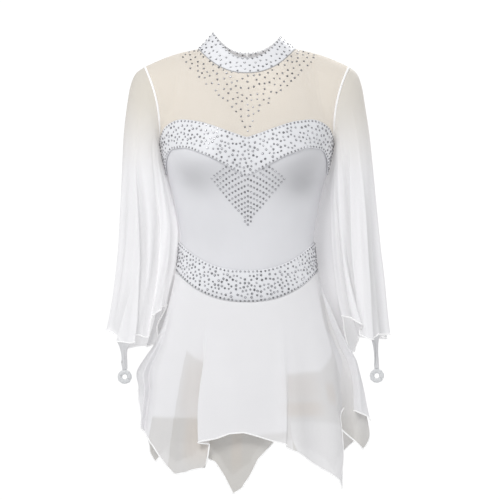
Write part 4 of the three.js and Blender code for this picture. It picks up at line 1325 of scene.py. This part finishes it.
class DRESS_OT_sleeves(DressOperator, bpy.types.Operator):
    """Makes the sleeves, their straps and the finger rings"""

    bl_idname = "dress.sleeves"
    bl_label = "Sleeves"

    def build(self, sizes):
        u, v = grid(400, 110)
        for hand in ("left", "right"):
            place = sleeve_point(hand, 360 * u, v)
            shades = sleeve_shades(hand, 360 * u, v, place)
            trims = [
                (f"sleeve_{hand}_{name}", place[:-1, end], radius / MM, "hem", "chiffon", True)
                for name, end, radius in (
                    ("hem", -1, sizes.hem), ("armhole_seam", 0, ARMHOLE_SHARE * sizes.piping),
                )
            ]
            sheet(f"sleeve_{hand}", place, trims, wrapped=True, shades=shades)
            self.strap(hand)

    def strap(self, hand):
        x, y, drop = LOOP[hand]
        u, v = grid(16, 30)
        hem = sleeve_point(hand, mix(*STRAP_TURNS[hand], u), np.ones_like(u))
        ring_top = drop - RING["radius"] - RING["cord"]
        foot = points(x + (2 * u - 1) * STRAP["foot_half"], y, -ring_top)
        place = mix(hem, foot, (v ** STRAP["taper"])[..., None])
        middle = place[:, :, 0].mean(0)
        pinch = 1 - STRAP["pinch"] * np.sin(np.pi * v ** STRAP["pinch_shape"])
        place[..., 0] = middle + (place[..., 0] - middle) * pinch
        place[..., 1] += STRAP["ridge"] * np.sin(3 * np.pi * u) * np.sin(np.pi * v)
        sheet(f"finger_strap_{hand}", place)
        angle = np.linspace(0, 2 * np.pi, 120, endpoint=False)
        gathers = RING["gather"] * np.abs(np.sin(RING["gathers"] / 2 * angle))
        cord = RING["cord"] * (RING["least"] + gathers + RING["ripple"] * np.sin(7 * angle + 1))
        across, up = RING["radius"] * np.cos(angle), RING["radius"] * np.sin(angle)
        tube(
            f"finger_ring_{hand}_cord", points(x + across, y + STRAP["wall"] / 2, -drop + up),
            cord, "elastic", "elastic", True, 16, [f"finger_ring_{hand}"],
        )


class DRESS_OT_stones(DressOperator, bpy.types.Operator):
    """Sets the stones on the collar, the yoke, the bust band, the bodice and the belt"""

    bl_idname = "dress.stones"
    bl_label = "Stones"

    def build(self, sizes):
        self.width, self.spacing, self.seed = sizes.stone / MM, sizes.spacing / MM, sizes.seed
        for node, (start, top, foot, _, cells, gap) in BANDS.items():
            self.band(f"{node}_stones", panel_grid(start, cells, top, foot, LIFT + BAND), gap)
        self.collar()
        self.yoke()
        self.lozenge()

    def band(self, name, place, gap):
        """Dotted rows along both edges of a band and loose stones between them."""
        bed = StoneBed(place, self.width, self.seed)
        rows = place.shape[1] - 1
        heights = np.linalg.norm(np.diff(place, axis=1), axis=-1).sum(1)
        inset = np.clip(ROW_INSET / heights, 0, 0.5)
        index = np.arange(place.shape[0])
        for part in (inset, 1 - inset):
            route = place[index, np.rint(part * rows).astype(int)][3:-3]
            bed.row(route, self.spacing * 0.9, 0.9)
        bed.scatter(np.ones(place.shape[:2], bool), gap, (0.85, 0.95, 1.1))
        bed.make(name)

    def collar(self):
        """A row along the rim, loose stones below it and more inside at the back."""
        place, turn, v = collar_grid(900, 60, 178 - COLLAR_SLIT)
        bed = StoneBed(place, self.width * 0.95, self.seed + 1, COLLAR_MIDDLE)
        bed.row(place[:, 3], self.spacing * 1.1)
        upper, lower = COLLAR_STONES["outer"]
        bed.scatter((v > upper) & (v < lower), 8.6, (0.9, 1.0, 1.1))
        bed.make("collar_stones")
        inner = place * (COLLAR_STONES["inner_size"], COLLAR_STONES["inner_size"], 1)
        bed = StoneBed(inner, self.width * 0.9, self.seed + 4, COLLAR_MIDDLE, facing=-1)
        upper, lower = COLLAR_STONES["inner"]
        back = np.abs(turn) > COLLAR_STONES["inner_from"]
        bed.scatter(back & (v > upper) & (v < lower), 8.8, (0.9, 1.0))
        bed.make("collar_inside_stones")

    def yoke(self):
        """Loose stones in a V below the collar."""
        u, v = grid(500, 260)
        place = yoke_point("front", u, v)
        bed = StoneBed(place, self.width * 0.95, self.seed + 2, (0, 60, -60))
        side, drop = np.abs(place[..., 0] - FRONT_MIDDLE), -place[..., 2]
        inside = (side < YOKE_V["side"][-1]) & (drop < straight(YOKE_V, "drop", side)) & (v > 0.03)
        bed.scatter(inside, 9.6, (0.9, 1.0, 1.05))
        bed.make("yoke_stones", 0.4)

    def lozenge(self):
        """Close rows that fall away from the centre front, below the bust band."""
        u, v = grid(700, 420)
        turn, drop = -40 + 80 * u, 205 + 135 * v
        bed = StoneBed(
            torso_point(turn, drop, mounds(DRAPE, turn, drop, "out")),
            self.width * 0.9, self.seed + 3,
        )
        turns = np.linspace(-89, 89, 720)
        for apex in LOZENGE_ROWS:
            for mark in np.arange(0, 110, LOZENGE["spacing"]):
                x = mark * LOZENGE["level_share"]
                drop = apex + x * LOZENGE["slope"] + x * x * LOZENGE["curve"]
                lower = mix(LOZENGE["tip"], LOZENGE["shoulder"], x / LOZENGE["half"])
                turn = math.degrees(math.asin(min(1, x / LOZENGE["body_half"])))
                if x > LOZENGE["half"] or drop > lower or drop < float(band_foot(turn)) + 3:
                    continue
                line = torso_point(turns, drop)
                for hand in (1, -1) if mark else (1,):
                    turn = np.interp(FRONT_MIDDLE + hand * x, line[:, 0], turns)
                    nearest = bed.nearest(torso_point(turn, drop))
                    bed.take(nearest, bed.random.uniform(0.95, 1.15))
        bed.make("bodice_stones")


def look_along(direction):
    """The rotation of a camera or lamp that looks along a direction."""
    x, y, z = direction / np.linalg.norm(direction)
    return (math.acos(-z), 0.0, math.atan2(y, x) - math.pi / 2)


class DRESS_OT_stage(DressOperator, bpy.types.Operator):
    """Makes the floor, the lights and the camera"""

    bl_idname = "dress.stage"
    bl_label = "Stage"

    def build(self, sizes):
        bpy.ops.object.select_all(action="DESELECT")
        bpy.ops.mesh.primitive_circle_add(
            vertices=96, radius=FLOOR_RADIUS, fill_type="NGON", location=(0, 0, FLOOR)
        )
        floor = bpy.context.object
        floor.name = "floor"
        shader = new_shader("Pale floor")
        grain = shader.noise(shader.here(), 3.0, 2.0)
        floor.data.materials.append(shader.finish({
            "Base Color": shader.blend(grain, (0.95, 0.95, 0.95, 1), (0.98, 0.98, 0.98, 1)),
            "Roughness": 0.9,
            "Emission Color": (1, 1, 1, 1),
            "Emission Strength": 0.12,
        }))
        world = Shader(bpy.data.worlds.new("Studio"))
        seen, light = (
            world.node("ShaderNodeBackground", None, {"Color": tint, "Strength": strength})
            for tint, strength in (WORLD_SEEN, WORLD_LIGHT)
        )
        camera_ray = world.node("ShaderNodeLightPath", output="Is Camera Ray")
        blend = world.node("ShaderNodeMixShader", None, {0: camera_ray, 1: light, 2: seen})
        world.node("ShaderNodeOutputWorld", None, {"Surface": blend})
        bpy.context.scene.world = world.owner
        for name, place, size, watts in LIGHTS:
            bpy.ops.object.light_add(type="AREA", location=place)
            lamp = bpy.context.object
            lamp.name = name
            lamp.data.shape = "DISK"
            lamp.data.size = size
            lamp.data.energy = watts
            lamp.rotation_euler = look_along(np.array(TARGET) - np.array(place))
        bpy.ops.object.camera_add(location=CAMERA)
        camera = bpy.context.object
        camera.rotation_euler = look_along(np.array(TARGET) - np.array(CAMERA))
        camera.data.lens = LENS
        camera.data.clip_end = 100
        bpy.context.scene.camera = camera
        bpy.context.scene.view_settings.view_transform = "Standard"


class DRESS_PT_panel(bpy.types.Panel):
    """Lists the steps of the dress"""

    bl_label = "Dress"
    bl_idname = "DRESS_PT_panel"
    bl_space_type = "VIEW_3D"
    bl_region_type = "UI"
    bl_category = "Dress"

    def draw(self, context):
        layout = self.layout
        for group in (context.scene.dress_sizes, context.scene.dress_colours):
            box = layout.box()
            for name in group.__annotations__:
                box.prop(group, name)
        for step in STEPS:
            layout.operator(step.bl_idname)


STEPS = (
    DRESS_OT_bodice,
    DRESS_OT_bands,
    DRESS_OT_yoke,
    DRESS_OT_skirt,
    DRESS_OT_sleeves,
    DRESS_OT_stones,
    DRESS_OT_stage,
)
CLASSES = (DressSizes, DressColours, *STEPS, DRESS_PT_panel)


def register():
    for made in CLASSES:
        bpy.utils.register_class(made)
    bpy.types.Scene.dress_sizes = PointerProperty(type=DressSizes)
    bpy.types.Scene.dress_colours = PointerProperty(type=DressColours)


def unregister():
    del bpy.types.Scene.dress_colours
    del bpy.types.Scene.dress_sizes
    for made in reversed(CLASSES):
        bpy.utils.unregister_class(made)


def main():
    register()
    bpy.ops.dress.bodice()
    bpy.ops.dress.bands()
    bpy.ops.dress.yoke()
    bpy.ops.dress.skirt()
    bpy.ops.dress.sleeves()
    bpy.ops.dress.stones()
    bpy.ops.dress.stage()


if __name__ == "__main__":
    main()
